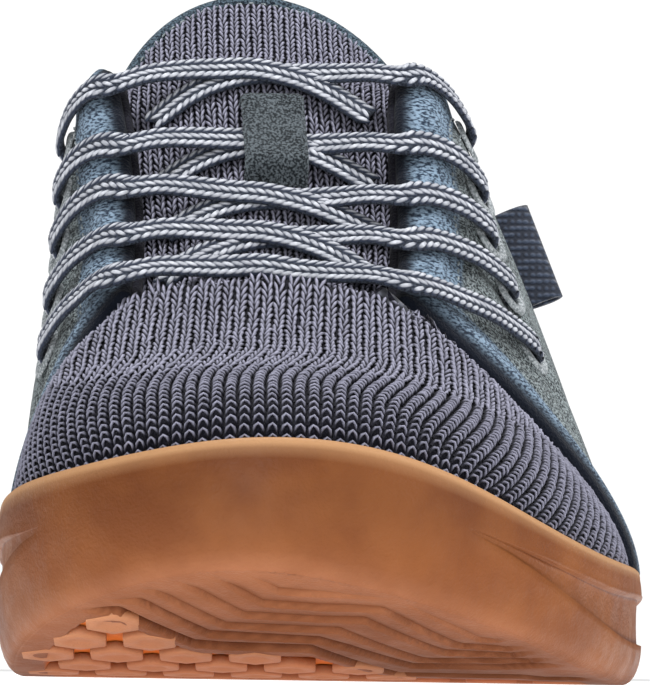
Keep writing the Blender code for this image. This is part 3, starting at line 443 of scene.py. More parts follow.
def throat_arc(up, across, depth=0.0):
    """Points of the arch that bridges the throat, with their normals; across is 0 at the inner edge."""
    up, across = np.broadcast_arrays(np.asarray(up, float), np.asarray(across, float))
    left, left_slope = throat_edge("medial", up)
    right, right_slope = throat_edge("lateral", up)
    handle = np.linalg.norm(right - left, axis=-1, keepdims=True) * 0.36
    second = left + left_slope * handle
    third = right + right_slope * handle
    part = across[..., None]
    rest = 1.0 - part
    point = rest**3 * left + 3 * rest**2 * part * second + 3 * rest * part**2 * third + part**3 * right
    slope = rest**2 * (second - left) + 2 * rest * part * (third - second) + part**2 * (right - third)
    normal = unit(np.cross(unit(slope), throat_middle(0.7) - throat_middle(0.3)))
    normal = normal * np.where(normal[..., 2:] < 0, -1.0, 1.0)
    return point - normal * depth + throat_shift(up), normal


def eyelet_frames(side):
    """Centre, normal and (station, row) of each eyelet of one side, on the upper's outer surface."""
    frames = []
    for up, back in EYELETS[side]:
        number = float(throat_station(side, up))
        rows = np.linspace(1.0, 0.3, 71)
        path = wall_point(number, rows)
        level = float(np.interp(back * BALL_WIDTH / 2, lengths_along(path), rows))
        frames.append((wall_point(number, level), wall_normal(number, level), (number, level)))
    return frames


def wall_spots(start, shifts):
    """Stations and rows of the surface points that lie small shifts away from a start."""
    home = wall_point(*start)
    spots = np.tile(np.array(start, float), (len(shifts), 1))
    small = 0.01
    for _ in range(3):
        here = wall_point(spots[:, 0], spots[:, 1])
        along = (wall_point(spots[:, 0] + small, spots[:, 1]) - here) / small
        rising = (wall_point(spots[:, 0], spots[:, 1] + small) - here) / small
        for k, miss in enumerate(home + shifts - here):
            basis = np.column_stack((along[k], rising[k]))
            spots[k] += np.linalg.lstsq(basis, miss, rcond=None)[0]
        spots[:, 1] = np.minimum(spots[:, 1], 1.0)
    return spots


# Materials


class Finish:
    """One procedural material, built node by node on Object coordinates and the piece's own attributes."""

    def __init__(self, name, colour, roughness, **fixed):
        self.material = bpy.data.materials.new(name)
        self.material.use_nodes = True
        self.tree = self.material.node_tree
        self.shader = self.tree.nodes["Principled BSDF"]
        self.shader.inputs["Base Color"].default_value = (*colour, 1.0)
        self.shader.inputs["Roughness"].default_value = roughness
        for socket, value in fixed.items():
            self.shader.inputs[socket.replace("_", " ")].default_value = value
        self.place = self.tree.nodes.new("ShaderNodeTexCoord").outputs["Object"]

    def put(self, socket, value):
        """Set a socket to a number, a colour or another node's output."""
        if isinstance(value, bpy.types.NodeSocket):
            self.tree.links.new(value, socket)
        elif socket.type == "RGBA":
            socket.default_value = (*value[:3], 1.0)
        else:
            socket.default_value = value

    def node(self, kind, **inputs):
        """A new shader node with some of its inputs set."""
        made = self.tree.nodes.new("ShaderNode" + kind)
        for socket, value in inputs.items():
            self.put(made.inputs[socket.replace("_", " ")], value)
        return made

    def noise(self, size, detail=3.0, stretch=(1.0, 1.0, 1.0)):
        """Noise whose lumps have a size in metres."""
        turn = self.node("Mapping", Scale=stretch, Vector=self.place)
        return self.node("TexNoise", Scale=1.0 / size, Detail=detail, Vector=turn.outputs[0]).outputs["Fac"]

    def cells(self, size):
        """Distance to the nearest of many scattered points a size apart."""
        return self.node("TexVoronoi", Scale=1.0 / size, Vector=self.place).outputs["Distance"]

    def own(self, name):
        """A number kept on the piece's own points."""
        made = self.node("Attribute")
        made.attribute_name = name
        return made.outputs["Fac"]

    def height(self):
        """Height over the floor."""
        return self.node("SeparateXYZ", Vector=self.place).outputs["Z"]

    def sums(self, operation, first, second, third=0.0):
        """A Math node."""
        made = self.node("Math")
        made.operation = operation
        for socket, value in zip(made.inputs, (first, second, third)):
            self.put(socket, value)
        return made.outputs[0]

    def step(self, value, low, high, start=0.0, end=1.0):
        """A soft step of a value between two limits."""
        made = self.node("MapRange", Value=value, From_Min=low, From_Max=high, To_Min=start, To_Max=end)
        made.interpolation_type = "SMOOTHSTEP"
        return made.outputs["Result"]

    def blend(self, share, first, second):
        """A colour between two others."""
        made = self.node("Mix")
        made.data_type = "RGBA"
        for socket, value in ((0, share), (6, first), (7, second)):
            self.put(made.inputs[socket], value)
        return made.outputs[2]

    def paint(self, colour):
        """Use a colour output as the base colour."""
        self.put(self.shader.inputs["Base Color"], colour)

    def polish(self, roughness):
        """Use a number output as the roughness."""
        self.put(self.shader.inputs["Roughness"], roughness)

    def relief(self, layers):
        """Bump from (height output, depth in metres) layers, coarse to fine."""
        normal = None
        for height, depth in layers:
            made = self.node("Bump", Distance=depth, Height=height)
            if normal is not None:
                self.put(made.inputs["Normal"], normal)
            normal = made.outputs["Normal"]
        self.put(self.shader.inputs["Normal"], normal)


def gum_rubber():
    """Satin gum rubber with a fine sandy skin: a painted highlight makes its lip pale, painted shade makes
    the band under it deep brown, and painted light from below makes the underside paler.
    """
    made = Finish("gum_rubber", (0.30, 0.12, 0.05), 0.5,
                  Coat_Weight=0.03, Coat_Roughness=0.4, Specular_IOR_Level=0.2)
    cloud = made.step(made.noise(0.014, 4.0), 0.35, 0.68)
    body = made.blend(cloud, (0.185, 0.052, 0.010), (0.235, 0.074, 0.017))
    # Painted shade: above about 16 mm the bumper's face turns a deeper brown, the shade under the lip.
    high = made.step(made.height(), 0.016, 0.030)
    face = made.blend(high, body, made.blend(cloud, (0.125, 0.034, 0.006), (0.175, 0.054, 0.011)))
    # Painted highlight: the lip's rows take a pale gum colour where light catches the lip.
    lip = made.blend(made.own("lip"), face, (0.42, 0.225, 0.105))
    # Painted light from below: the underside and the foot of the side take a paler gum colour.
    tread = made.blend(cloud, (0.245, 0.084, 0.031), (0.315, 0.118, 0.050))
    under = made.blend(made.own("under"), lip, tread)
    # Painted shade: the side lines and the deep parts of the terraces turn dark brown.
    groove_shade = made.blend(made.own("groove_shade"), under, (0.115, 0.026, 0.005))
    floor = made.blend(made.own("deep"), groove_shade, (0.85, 0.24, 0.045))
    made.paint(made.blend(made.own("lug"), floor, (0.55, 0.25, 0.125)))
    made.polish(made.step(made.noise(0.004), 0.3, 0.7, 0.44, 0.60))
    made.relief([(made.cells(0.0011), 0.00006), (made.noise(0.00045, 2.0), 0.00012)])
    return made.material


def yarn(name, dark, pale, roughness=0.85, vary=0.25, low=0.15, high=0.85):
    """Spun yarn with a tone that varies from loop to loop: pale on its crowns, and darkened by painted shade
    where it sinks in.
    """
    made = Finish(name, pale, roughness, Sheen_Weight=0.04, Sheen_Roughness=0.5, Specular_IOR_Level=0.2)
    # Painted shade: the colour falls to dark towards the base of each loop and lobe, where the yarn sinks in.
    crown_shade = made.step(made.own("crown_shade"), low, high)
    tone = made.sums("MULTIPLY_ADD", made.own("shade"), vary, 1.0 - vary)
    speckle = made.step(made.noise(0.0007, 2.0), 0.25, 0.60, 0.72, 1.0)
    share = made.sums("MULTIPLY", made.sums("MULTIPLY", crown_shade, tone), speckle)
    made.paint(made.blend(share, dark, pale))
    made.relief([(made.noise(0.00035, 2.0), 0.00012)])
    return made.material


def nap(name, dark, pale, band_dark=None, band_pale=None):
    """Brushed suede with a short uneven nap, and a smoother, twilled band along its folded edge, with painted
    shadow along that edge where it rolls down to the knit.
    """
    made = Finish(name, pale, 0.95, Sheen_Weight=0.05, Sheen_Roughness=0.45, Specular_IOR_Level=0.15)
    patches = made.step(made.noise(0.0065, 5.0), 0.32, 0.70)
    speck = made.step(made.noise(0.00042, 2.0), 0.40, 0.62)
    share = made.sums("MULTIPLY_ADD", speck, 0.84, made.sums("MULTIPLY", patches, 0.16))
    colour = made.blend(share, dark, pale)
    if band_dark:
        twill = made.step(made.noise(0.0009, 2.0, (1.0, 1.0, 2.4)), 0.36, 0.62)
        colour = made.blend(made.own("band"), colour, made.blend(twill, band_dark, band_pale))
        # Painted shadow: near-black where the folded edge rolls down to the knit.
        colour = made.blend(made.own("fold"), colour, (0.004, 0.006, 0.012))
    made.paint(colour)
    made.relief([(made.noise(0.0022, 3.0), 0.00025), (made.noise(0.00050, 3.0), 0.00040)])
    return made.material


def woven(name, dark, pale, pitch=0.0009):
    """Plain cloth with threads both ways."""
    made = Finish(name, pale, 0.9, Sheen_Weight=0.2, Sheen_Roughness=0.5)
    waves = []
    for direction in ("X", "Y", "Z"):
        wave = made.node("TexWave", Scale=1.0 / (pitch * 20.0) * math.pi, Distortion=0.6, Vector=made.place)
        wave.bands_direction = direction
        waves.append(wave.outputs["Fac"])
    threads = made.sums("MULTIPLY", made.sums("ADD", waves[0], waves[1]), waves[2])
    made.paint(made.blend(made.step(threads, 0.1, 1.2), dark, pale))
    made.relief([(threads, 0.00018), (made.noise(0.0004), 0.00008)])
    return made.material


def pale_floor():
    """A plain pale studio floor that glows a little."""
    made = Finish("studio_floor", (0.93, 0.93, 0.93), 0.75,
                  Emission_Color=(1.0, 1.0, 1.0, 1.0), Emission_Strength=0.45)
    made.polish(made.step(made.noise(0.05), 0.3, 0.7, 0.70, 0.80))
    return made.material


# Meshes


def grid_faces(columns, rows, round_columns=False, round_rows=False, first=0):
    """Quads of a grid numbered column by column, which may close on itself either way."""
    i, j = np.meshgrid(np.arange(columns if round_columns else columns - 1),
                       np.arange(rows if round_rows else rows - 1), indexing="ij")
    next_i, next_j = (i + 1) % columns, (j + 1) % rows
    quads = np.stack((i * rows + j, i * rows + next_j, next_i * rows + next_j, next_i * rows + j), axis=-1)
    return (quads.reshape(-1, 4) + first).tolist()


def sheet(outer, inner, ring=False):
    """Points and quads of a sheet between two grids, closed round its borders."""
    columns, rows = outer.shape[:2]
    loops = np.concatenate((outer, inner[:, ::-1]), axis=1)
    faces = grid_faces(columns, 2 * rows, round_columns=ring, round_rows=True)
    if not ring:
        for column in (0, columns - 1):
            base = column * 2 * rows
            faces += [(base + j, base + j + 1, base + 2 * rows - 2 - j, base + 2 * rows - 1 - j)
                      for j in range(rows - 1)]
    return loops.reshape(-1, 3), faces


def tube(rings, closed=False):
    """Points and faces of a tube through rings of points, with flat ends unless it closes on itself."""
    rings = np.asarray(rings)
    count, sides = rings.shape[:2]
    faces = grid_faces(count, sides, round_columns=closed, round_rows=True)
    if not closed:
        faces += [tuple(range(sides)), tuple((count - 1) * sides + j for j in range(sides))]
    return rings.reshape(-1, 3), faces


def join(shapes):
    """Several (points, faces) as one."""
    points, faces, first = [], [], 0
    for shape_points, shape_faces in shapes:
        points.append(np.asarray(shape_points))
        faces += [tuple(first + k for k in face) for face in shape_faces]
        first += len(shape_points)
    return np.concatenate(points), faces


def new_mesh(name, points, faces):
    """A mesh of points and faces."""
    mesh = bpy.data.meshes.new(name)
    mesh.from_pydata(np.asarray(points).tolist(), [], faces)
    return mesh


def new_object(name, data):
    """A new object in the scene."""
    made = bpy.data.objects.new(name, data)
    bpy.context.collection.objects.link(made)
    return made


def keep_on_points(mesh, name, values, kind="FLOAT"):
    """Keep numbers or vectors on a mesh's points."""
    layer = mesh.attributes.new(name, kind, "POINT")
    values = np.ascontiguousarray(values, np.float32).ravel()
    layer.data.foreach_set("value" if kind == "FLOAT" else "vector", values)


def apply_modifiers(piece):
    """Put what a piece's modifiers make of it in place of its mesh."""
    bpy.context.view_layer.update()
    done = bpy.data.meshes.new_from_object(piece.evaluated_get(bpy.context.evaluated_depsgraph_get()))
    piece.modifiers.clear()
    piece.data = done


def make_piece(name, points, faces, finishes, marks=None):
    """A smooth-shaded mesh with outward faces, its numbers kept on its points, that rides on the shoe."""
    mesh = new_mesh(name, points, faces)
    for mark, values in (marks or {}).items():
        keep_on_points(mesh, mark, values)
    shape = bmesh.new()
    shape.from_mesh(mesh)
    bmesh.ops.recalc_face_normals(shape, faces=shape.faces)
    shape.to_mesh(mesh)
    shape.free()
    mesh.shade_smooth()
    for finish in finishes if isinstance(finishes, (list, tuple)) else [finishes]:
        mesh.materials.append(finish)
    piece = new_object(name, mesh)
    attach(piece, "root")
    return piece


def stand_for(piece, slot, *nodes):
    """Hide the solids that a piece stands for; the slot is not used."""
    if nodes:
        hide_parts(*nodes)


def scatter_tree():
    """Geometry Nodes that put one small shape on every point, turned and sized by the point's own numbers."""
    tree = bpy.data.node_groups.new("scatter_on_points", "GeometryNodeTree")
    for name, kind in (("Geometry", "Geometry"), ("Shape", "Object"), ("Growth", "Float"), ("Seed", "Int"),
                       ("Finish", "Material")):
        tree.interface.new_socket(name=name, in_out="INPUT", socket_type="NodeSocket" + kind)
    tree.interface.new_socket(name="Geometry", in_out="OUTPUT", socket_type="NodeSocketGeometry")
    add, link = tree.nodes.new, tree.links.new
    given, result = add("NodeGroupInput"), add("NodeGroupOutput")
    turn, size = add("GeometryNodeInputNamedAttribute"), add("GeometryNodeInputNamedAttribute")
    for node, name in ((turn, "turn"), (size, "size")):
        node.data_type = "FLOAT_VECTOR"
        node.inputs["Name"].default_value = name
    euler = add("FunctionNodeEulerToRotation")
    link(turn.outputs["Attribute"], euler.inputs[0])
    grow = add("ShaderNodeVectorMath")
    grow.operation = "SCALE"
    link(size.outputs["Attribute"], grow.inputs[0])
    link(given.outputs["Growth"], grow.inputs["Scale"])
    info = add("GeometryNodeObjectInfo")
    link(given.outputs["Shape"], info.inputs["Object"])
    place = add("GeometryNodeInstanceOnPoints")
    link(given.outputs["Geometry"], place.inputs["Points"])
    link(info.outputs["Geometry"], place.inputs["Instance"])
    link(euler.outputs[0], place.inputs["Rotation"])
    link(grow.outputs[0], place.inputs["Scale"])
    chance = add("FunctionNodeRandomValue")
    chance.data_type = "FLOAT"
    link(given.outputs["Seed"], chance.inputs["Seed"])
    shade = add("GeometryNodeStoreNamedAttribute")
    shade.data_type = "FLOAT"
    shade.domain = "INSTANCE"
    shade.inputs["Name"].default_value = "shade"
    link(place.outputs[0], shade.inputs["Geometry"])
    link(chance.outputs[1], shade.inputs["Value"])
    real, dress = add("GeometryNodeRealizeInstances"), add("GeometryNodeSetMaterial")
    link(shade.outputs[0], real.inputs[0])
    link(real.outputs[0], dress.inputs["Geometry"])
    link(given.outputs["Finish"], dress.inputs["Material"])
    link(dress.outputs[0], result.inputs[0])
    return tree


SCATTER = scatter_tree()


def euler_angles(along, normal):
    """XYZ angles that turn Y towards along and Z towards normal."""
    y = unit(along)
    z = unit(normal - y * (normal * y).sum(-1, keepdims=True))
    x = np.cross(y, z)
    return np.stack((np.arctan2(y[..., 2], z[..., 2]), -np.arcsin(np.clip(x[..., 2], -1.0, 1.0)),
                     np.arctan2(x[..., 1], x[..., 0])), axis=-1)


def scatter(name, shape, points, along, normals, sizes, finish, seed=1):
    """Copies of a small shape on points as one plain mesh that rides on the shoe."""
    unit_mesh = new_mesh("unit_shape", *shape)
    # Each point's height in the shape drives the yarn's painted shade towards the base.
    keep_on_points(unit_mesh, "crown_shade", np.clip(np.asarray(shape[0])[:, 2], 0.0, 1.0))
    unit_mesh.shade_smooth()
    unit_object = new_object("unit_shape", unit_mesh)
    cloud = new_mesh(name, points, [])
    for mark, values in (("turn", euler_angles(along, normals)), ("size", sizes)):
        keep_on_points(cloud, mark, values, "FLOAT_VECTOR")
    host = new_object(name, cloud)
    nodes = host.modifiers.new("Scatter", "NODES")
    nodes.node_group = SCATTER
    sockets = {item.name: item.identifier for item in SCATTER.interface.items_tree if item.in_out == "INPUT"}
    for socket, value in (("Shape", unit_object), ("Growth", 1.0), ("Seed", seed), ("Finish", finish)):
        nodes[sockets[socket]] = value
    apply_modifiers(host)
    bpy.data.meshes.remove(cloud)
    host.data.name = name
    bpy.data.objects.remove(unit_object)
    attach(host, "root")
    return host


def lobe_shape(lengths=5, across=4):
    """A half-round strand a unit long, wide and high, pointed at both ends."""
    share = np.linspace(0.0, 1.0, lengths)
    swell = np.sin(math.pi * (0.06 + 0.88 * share)) ** 0.6
    angles = np.linspace(0.0, math.pi, across)
    grid = np.array([[(math.cos(a) * 0.5 * w, s - 0.5, math.sin(a) * w) for a in angles]
                     for s, w in zip(share, swell)])
    return grid.reshape(-1, 3), [face[::-1] for face in grid_faces(lengths, across)]


def stitch_shape():
    """A short closed thread with sunk ends."""
    rings = []
    for y, r, z in ((-0.5, 0.30, -0.3), (-0.3, 0.50, 0.3), (0.3, 0.50, 0.3), (0.5, 0.30, -0.3)):
        rings.append([(math.cos(a) * r, y, z + math.sin(a) * r) for a in turns(5)])
    return tube(rings)


# Sole


def side_stations(count):
    """Even steps round the last."""
    return np.linspace(0.0, COUNT, count + 1)[:-1]


def outsole_cup(stations):
    """Rings of the cup from under its rim, round its stepped side and lip, to the floor inside."""
    line = outline_point(stations)
    out = outward(stations)
    top, upper, lower, step = np.moveaxis(LAST["sides"].at(stations), -1, 0)
    base = tread_height(line[:, 1])
    side = top - base
    fade = smooth(step / SIDE_STEP, 0.15, 0.85)
    middle = lower * 0.5 + upper * 0.5
    upper, lower = (middle + (level - middle) * (0.25 + 0.75 * fade) for level in (upper, lower))
    step = SIDE_STEP * fade
    edge = SIDE_EDGE * (0.15 + 0.85 * fade)

    def ring(inset, height):
        point = line - out * (np.asarray(inset) * np.ones(len(line)))[:, None]
        point[:, 2] = height
        return point

    rows = []
    for lift in (0.0026, 0.0):
        row = ring(SIDE_WALL + SIDE_EDGE, 0.0)
        row[:, 2] = tread_height(row[:, 1]) + lift
        rows.append(row)
    for angle in np.radians((0, 12, 25, 38, 50, 62, 72, 81, 90)):
        row = ring(SIDE_WALL * (1 - math.sin(angle)), 0.0)
        row[:, 2] = tread_height(row[:, 1]) + side * lower * (1 - math.cos(angle))
        rows.append(row)
    for inset, share in ((0.35, 0.25), (0.9, 0.7), (1.0, 1.2)):
        rows.append(ring(step * inset, base + side * lower + edge * share))
    for share in (0.15, 0.4, 0.65, 0.88):
        swell = step * (1.0 + 0.15 * math.sin(share * math.pi))
        rows.append(ring(swell, base + side * (lower + (upper - lower) * share)))
    for inset, share in ((1.0, 1.2), (0.9, 0.7), (0.25, 0.2), (-0.15, -0.4), (0.0, -1.2)):
        rows.append(ring(step * inset, base + side * upper - edge * share))
    for share in (0.3, 0.6, 0.85):
        rows.append(ring(SIDE_WALL * 0.14 * share**2, base + side * upper + side * (1.0 - upper) * share))
    lip = len(rows)
    for inset, lift in ((0.10, -0.4), (0.13, 0.35), (0.24, 0.85), (0.42, 1.0), (0.68, 0.85)):
        rows.append(ring(SIDE_WALL * inset, top + LIP * lift))
    inner = feather(stations) + out * GAP
    inner[:, 2] += LIP / 3
    rows.append(inner)
    for row in (-0.3, -0.65, -1.0):
        rows.append(wall_point(stations, row) + wall_normal(stations, row) * GAP)
    grid = np.array(rows).transpose(1, 0, 2)
    # The lip's rows are marked for the gum's painted highlight.
    marks = np.zeros(grid.shape[:2])
    marks[:, lip - 1] = 0.4
    marks[:, lip:lip + 6] = 1.0
    # The rows of both side lines are marked for painted shade in their grooves.
    groove_shade = np.zeros(grid.shape[:2])
    groove_shade[:, SIDE_LINES] = fade[:, None]
    # Rows near the foot of the side are marked for the paler gum colour, painted light from below.
    under = np.zeros(grid.shape[:2])
    under[:, :lip] = 1.0 - smooth(((grid[:, :lip, 2] - base[:, None]) / side[:, None]), -0.08, 0.16)
    return grid, marks, under, groove_shade


def side_chains(inset):
    """The sole's inner and outer edges as x over y, an inset in from the outline."""
    tip = station("toe_tip")
    chains = []
    for numbers in (np.linspace(0.0, tip, 500), np.linspace(tip, COUNT, 500)):
        ring = outline_point(numbers) - outward(numbers) * inset
        order = np.argsort(ring[:, 1])
        chains.append(ring[order][:, :2])
    return chains


def plan_grid(inset, columns, y_rows):
    """Plan points between both edges of the sole, in rows across it."""
    inner, outer = side_chains(inset)
    low = max(inner[0, 1], outer[0, 1])
    high = min(inner[-1, 1], outer[-1, 1])
    y = low + (high - low) * y_rows
    left = np.interp(y, inner[:, 1], inner[:, 0])
    right = np.interp(y, outer[:, 1], outer[:, 0])
    share = np.linspace(0.0, 1.0, columns)
    x = left[:, None] + (right - left)[:, None] * share
    return x, np.broadcast_to(y[:, None], x.shape)


def edge_distance(x, y):
    """Distance from plan points to the sole's outline."""
    ring = LAST["outline"].at(np.linspace(0.0, COUNT, 700)[:-1])
    flat = np.column_stack((x.ravel(), y.ravel()))
    near = [np.linalg.norm(ring[None] - block[:, None], axis=2).min(1) for block in np.array_split(flat, 40)]
    return np.concatenate(near).reshape(x.shape)


def terrace_line(number, share):
    """Distance from the toe of one terrace edge, at shares of half the width."""
    line = np.array(TERRACES[number][1])
    return np.interp(share, line[:, 0], line[:, 1] / 1000.0)


def lug_field(x, y, edge):
    """1 where the tread's floor is sunk between the lugs."""
    share = x / (BALL_WIDTH / 2)
    from_toe = y + LENGTH / 2
    front = terrace_line(-1, share) + LUG_STRIP
    soft = TERRACE_EDGE
    return smooth(from_toe, front, front + soft) * smooth(edge, RIM_WIDTH, RIM_WIDTH + soft)


def tread_relief(x, y, edge):
    """How deep the tread is cut under the toe and between the lugs."""
    share = x / (BALL_WIDTH / 2)
    from_toe = y + LENGTH / 2
    depth = np.zeros_like(x)
    for number, (cut, line) in enumerate(TERRACES):
        line_y = terrace_line(number, share)
        start, end = line[0][0], line[-1][0]
        fade = smooth(share, start - 0.02, start + 0.10) * (1.0 - smooth(share, end - 0.08, end + 0.03))
        ramp = np.clip(1.0 - (line_y - from_toe) / TERRACE_RUN, 0.0, 1.0) ** 1.6
        ahead = 1.0 - smooth(from_toe, line_y - TERRACE_EDGE / 2, line_y + TERRACE_EDGE / 2)
        depth = np.maximum(depth, cut * CARVING * fade * ramp * ahead)
    depth = depth * smooth(edge, 0.0035, 0.0110)
    return np.maximum(depth, lug_field(x, y, edge) * LUG_HEIGHT)


def tread_plate():
    """The underside as a thin plate with its terraces and the sunk floor between the lugs."""
    front = 0.30 * np.linspace(0.0, 1.0, 168) ** 1.25
    back = 0.30 + 0.70 * (1.0 - (1.0 - np.linspace(0.0, 1.0, 78)[1:]) ** 1.3)
    x, y = plan_grid(SIDE_WALL, 162, np.concatenate((front, back)))
    edge = edge_distance(x, y)
    cut = tread_relief(x, y, edge)
    low, high = (np.stack((x, y, tread_height(y) + depth), axis=-1)
                 for depth in (cut, LUG_HEIGHT + PLATE_SUNK))
    points, faces = sheet(low, high)
    field = lug_field(x, y, edge)
    # The deep parts of the terraces are marked for painted shade.
    deep, groove_shade = (np.concatenate((mark, np.zeros_like(x)), axis=1).ravel()
                    for mark in (field, smooth(cut, 0.0004, 0.0014) * (1.0 - field)))
    return points, faces, deep, groove_shade


def lug_shape():
    """A hexagonal lug a unit wide and high, bevelled and with a shallow dimple, that points down."""
    rings = []
    profile = ((0.577, 0.05, True), (0.577, 0.86, True), (0.545, 1.0, True), (0.31, 1.0, False),
               (0.20, 0.80, False))
    for radius, height, corners in profile:
        ring = []
        for k in range(12):
            angle = math.radians(30 * k)
            stretch = 1.0 if not corners or k % 2 else math.cos(math.radians(30))
            ring.append((radius * stretch * math.cos(angle), radius * stretch * math.sin(angle), -height))
        rings.append(ring)
    points, faces = tube(rings)
    return points, [face[::-1] for face in faces[:-2]] + [faces[-1][::-1]]


def make_lugs(finish):
    """Honeycomb of lugs behind the terraces, each square to the tread."""
    row, place = (a.ravel() for a in np.meshgrid(np.arange(-14, 15), np.arange(-6, 7), indexing="ij"))
    x = (place + 0.5 * (row % 2)) * LUG_PITCH
    y = row * (LUG_PITCH * math.sqrt(3) / 2)
    edge = edge_distance(x, y)
    inner, outer = side_chains(0.0)
    within = (x > np.interp(y, inner[:, 1], inner[:, 0])) & (x < np.interp(y, outer[:, 1], outer[:, 0]))
    front = terrace_line(-1, x / (BALL_WIDTH / 2)) + LUG_STRIP
    keep = within & (edge > RIM_WIDTH - LUG_WIDTH * 0.1) & (y + LENGTH / 2 > front + LUG_WIDTH * 0.05)
    keep &= np.abs(y) < LENGTH / 2 - RIM_WIDTH
    x, y = x[keep], y[keep]
    small = 0.001
    rise = tread_height(y + small) - tread_height(y)
    along = unit(np.stack((np.zeros_like(y), np.full_like(y, small), rise), -1))
    normal = np.cross(np.broadcast_to((1.0, 0.0, 0.0), along.shape), along)
    points = np.stack((x, y, tread_height(y) + LUG_HEIGHT), axis=-1)
    sizes = np.tile((LUG_WIDTH, LUG_WIDTH, LUG_HEIGHT + 0.00004), (len(x), 1))
    lugs = scatter("sole_lugs", lug_shape(), points, along, normal, sizes, finish)
    spots = np.array([vertex.co for vertex in lugs.data.vertices])
    over_tread = spots[:, 2] - tread_height(spots[:, 1])
    keep_on_points(lugs.data, "lug", 1.0 - smooth(over_tread, 0.0002, 0.0011))
    return lugs


def make_sole(finish):
    """The gum rubber cup with its tread plate, and the lugs under it."""
    stations = side_stations(378)
    grid, lip, under, side_lines = outsole_cup(stations)
    faces = grid_faces(*grid.shape[:2], round_columns=True)
    count, rows = grid.shape[:2]
    faces += [tuple(i * rows + end for i in range(count)) for end in (rows - 1, 0)]
    plate, plate_faces, deep, groove_shade = tread_plate()
    cup = grid.reshape(-1, 3)
    points, faces = join(((cup, faces), (plate, plate_faces)))
    marks = {"lip": np.concatenate((lip.ravel(), np.zeros(len(plate)))),
             "under": np.concatenate((under.ravel(), np.ones(len(plate)))),
             "groove_shade": np.concatenate((side_lines.ravel(), groove_shade)),
             "deep": np.concatenate((np.zeros(len(cup)), deep))}
    sole = make_piece("outsole_rubber", points, faces, finish, marks)
    stand_for(sole, "gum_rubber", "outsole")
    stand_for(make_lugs(finish), "gum_rubber")


def make_footbed(finish):
    """The footbed with a soft raised edge."""
    share = (1.0 - np.cos(np.linspace(0.0, math.pi, 90))) / 2
    inset = SIDE_WALL + CUP_TUCK + KNIT_WALL
    x, y = plan_grid(inset + GAP * 2, 40, share)
    edge = edge_distance(x, y) - inset
    low = np.stack((x, y, floor_height(y) + GAP), axis=-1)
    high = np.stack((x, y, low[..., 2] + INSOLE - 0.0008 * smooth(edge, 0.002, 0.012)), axis=-1)
    stand_for(make_piece("footbed_cloth", *sheet(high, low), finish), "footbed", "insole")


# Upper


def crease_depth(points):
    """How far the soft creases draw points of the upper in."""
    depth = np.zeros(points.shape[:-1])
    for deep, wide, start, end in CREASES:
        a, b = wall_point(*start), wall_point(*end)
        run = b - a
        part = ((points - a) @ run) / (run @ run)
        near = a + run * np.clip(part, 0.0, 1.0)[..., None]
        away = np.linalg.norm(points - near, axis=-1) / (wide / 1000.0)
        fade = smooth(part, -0.15, 0.35) * (1.0 - smooth(part, 0.65, 1.15))
        trough = np.exp(-away**2) - 0.45 * np.exp(-((away - 1.9) ** 2))
        depth += deep / 1000.0 * trough * fade
    return depth


def make_upper(cloth, shadow, lining):
    """The hollow wall with a rolled collar: a near-black base cloth outside, which paints the shade between
    the knitted loops and along the throat's rim, lining inside.
    """
    stations = side_stations(252)
    rows = np.concatenate(((-1.0, -0.6, -0.3), np.linspace(0.0, 1.0, 26)))
    s, r = np.meshgrid(stations, rows, indexing="ij")
    outer = wall_point(s, r)
    normal = wall_normal(s, r)
    outer = outer - normal * crease_depth(outer)[..., None]
    inner = outer - normal * wall_thickness(s, r)[..., None]
    down = rows < 0
    inner[:, down] = outer[:, down] - outward(s[:, down]) * KNIT_WALL
    middle = (outer[:, -1] + inner[:, -1]) / 2
    side = outer[:, -1] - middle
    rise = unit(outer[:, -1] - outer[:, -2]) * np.linalg.norm(side, axis=-1, keepdims=True)
    roll = [middle + side * math.cos(a) + rise * math.sin(a) * 0.7
            for a in np.radians((25, 50, 75, 105, 130, 155))]
    loops = np.concatenate((outer, np.array(roll).transpose(1, 0, 2), inner[:, ::-1]), axis=1)
    columns, around = loops.shape[:2]
    faces = grid_faces(columns, around, round_columns=True, round_rows=True)
    wall = make_piece("upper_wall", loops.reshape(-1, 3), faces, [shadow, cloth, lining])
    outside = len(rows)
    # Painted shade: outer faces keep the near-black knit_shadow finish under the loops, and along the throat
    # the rim and roll keep it too; elsewhere the rim and roll wear the collar cloth.
    throat = (stations > station("instep_medial")) & (stations < station("instep_lateral"))
    for face in wall.data.polygons:
        column, row = divmod(face.index, around)
        if outside - 5 <= row < outside + len(roll):
            face.material_index = 0 if throat[column] else 1
        elif row >= outside + len(roll) - 1:
            face.material_index = 2
    stand_for(wall, "knit", "upper")


def vamp_point(numbers, rows):
    """The vamp's surface, carried straight on past its borders at rows 0 and 1."""
    inside = np.clip(rows, 0.0, 1.0)
    small = 0.02
    point = home = wall_point(numbers, inside)
    for turn, past in ((1, -rows), (-1, rows - 1.0)):
        slope = (home - wall_point(numbers, inside + turn * small)) / small
        point = point + slope * np.clip(past, 0.0, None)[..., None]
    return point


def even_line(line, count=110, low=-0.12, high=1.06):
    """A wale's (station, row) points, evenly spaced, drawn on to both limits and the same in every run."""
    slope_low = (line[0] - line[4]) / max(line[4, 1] - line[0, 1], 1e-6)
    slope_high = (line[-1] - line[-5]) / max(line[-1, 1] - line[-5, 1], 1e-6)
    first = line[0] + slope_low * max(line[0, 1] - low, 0.0)
    last = line[-1] + slope_high * max(high - line[-1, 1], 0.0)
    full = np.concatenate((first[None], line, last[None]))
    points = vamp_point(full[:, 0], full[:, 1])
    walked = lengths_along(points, 1e-9)
    made = resample(np.linspace(0.0, walked[-1], count), walked, full)
    keep = (made[:, 1] >= low - 0.01) & (made[:, 1] <= high + 0.01)
    return np.round(made[keep], WALE_DIGITS)


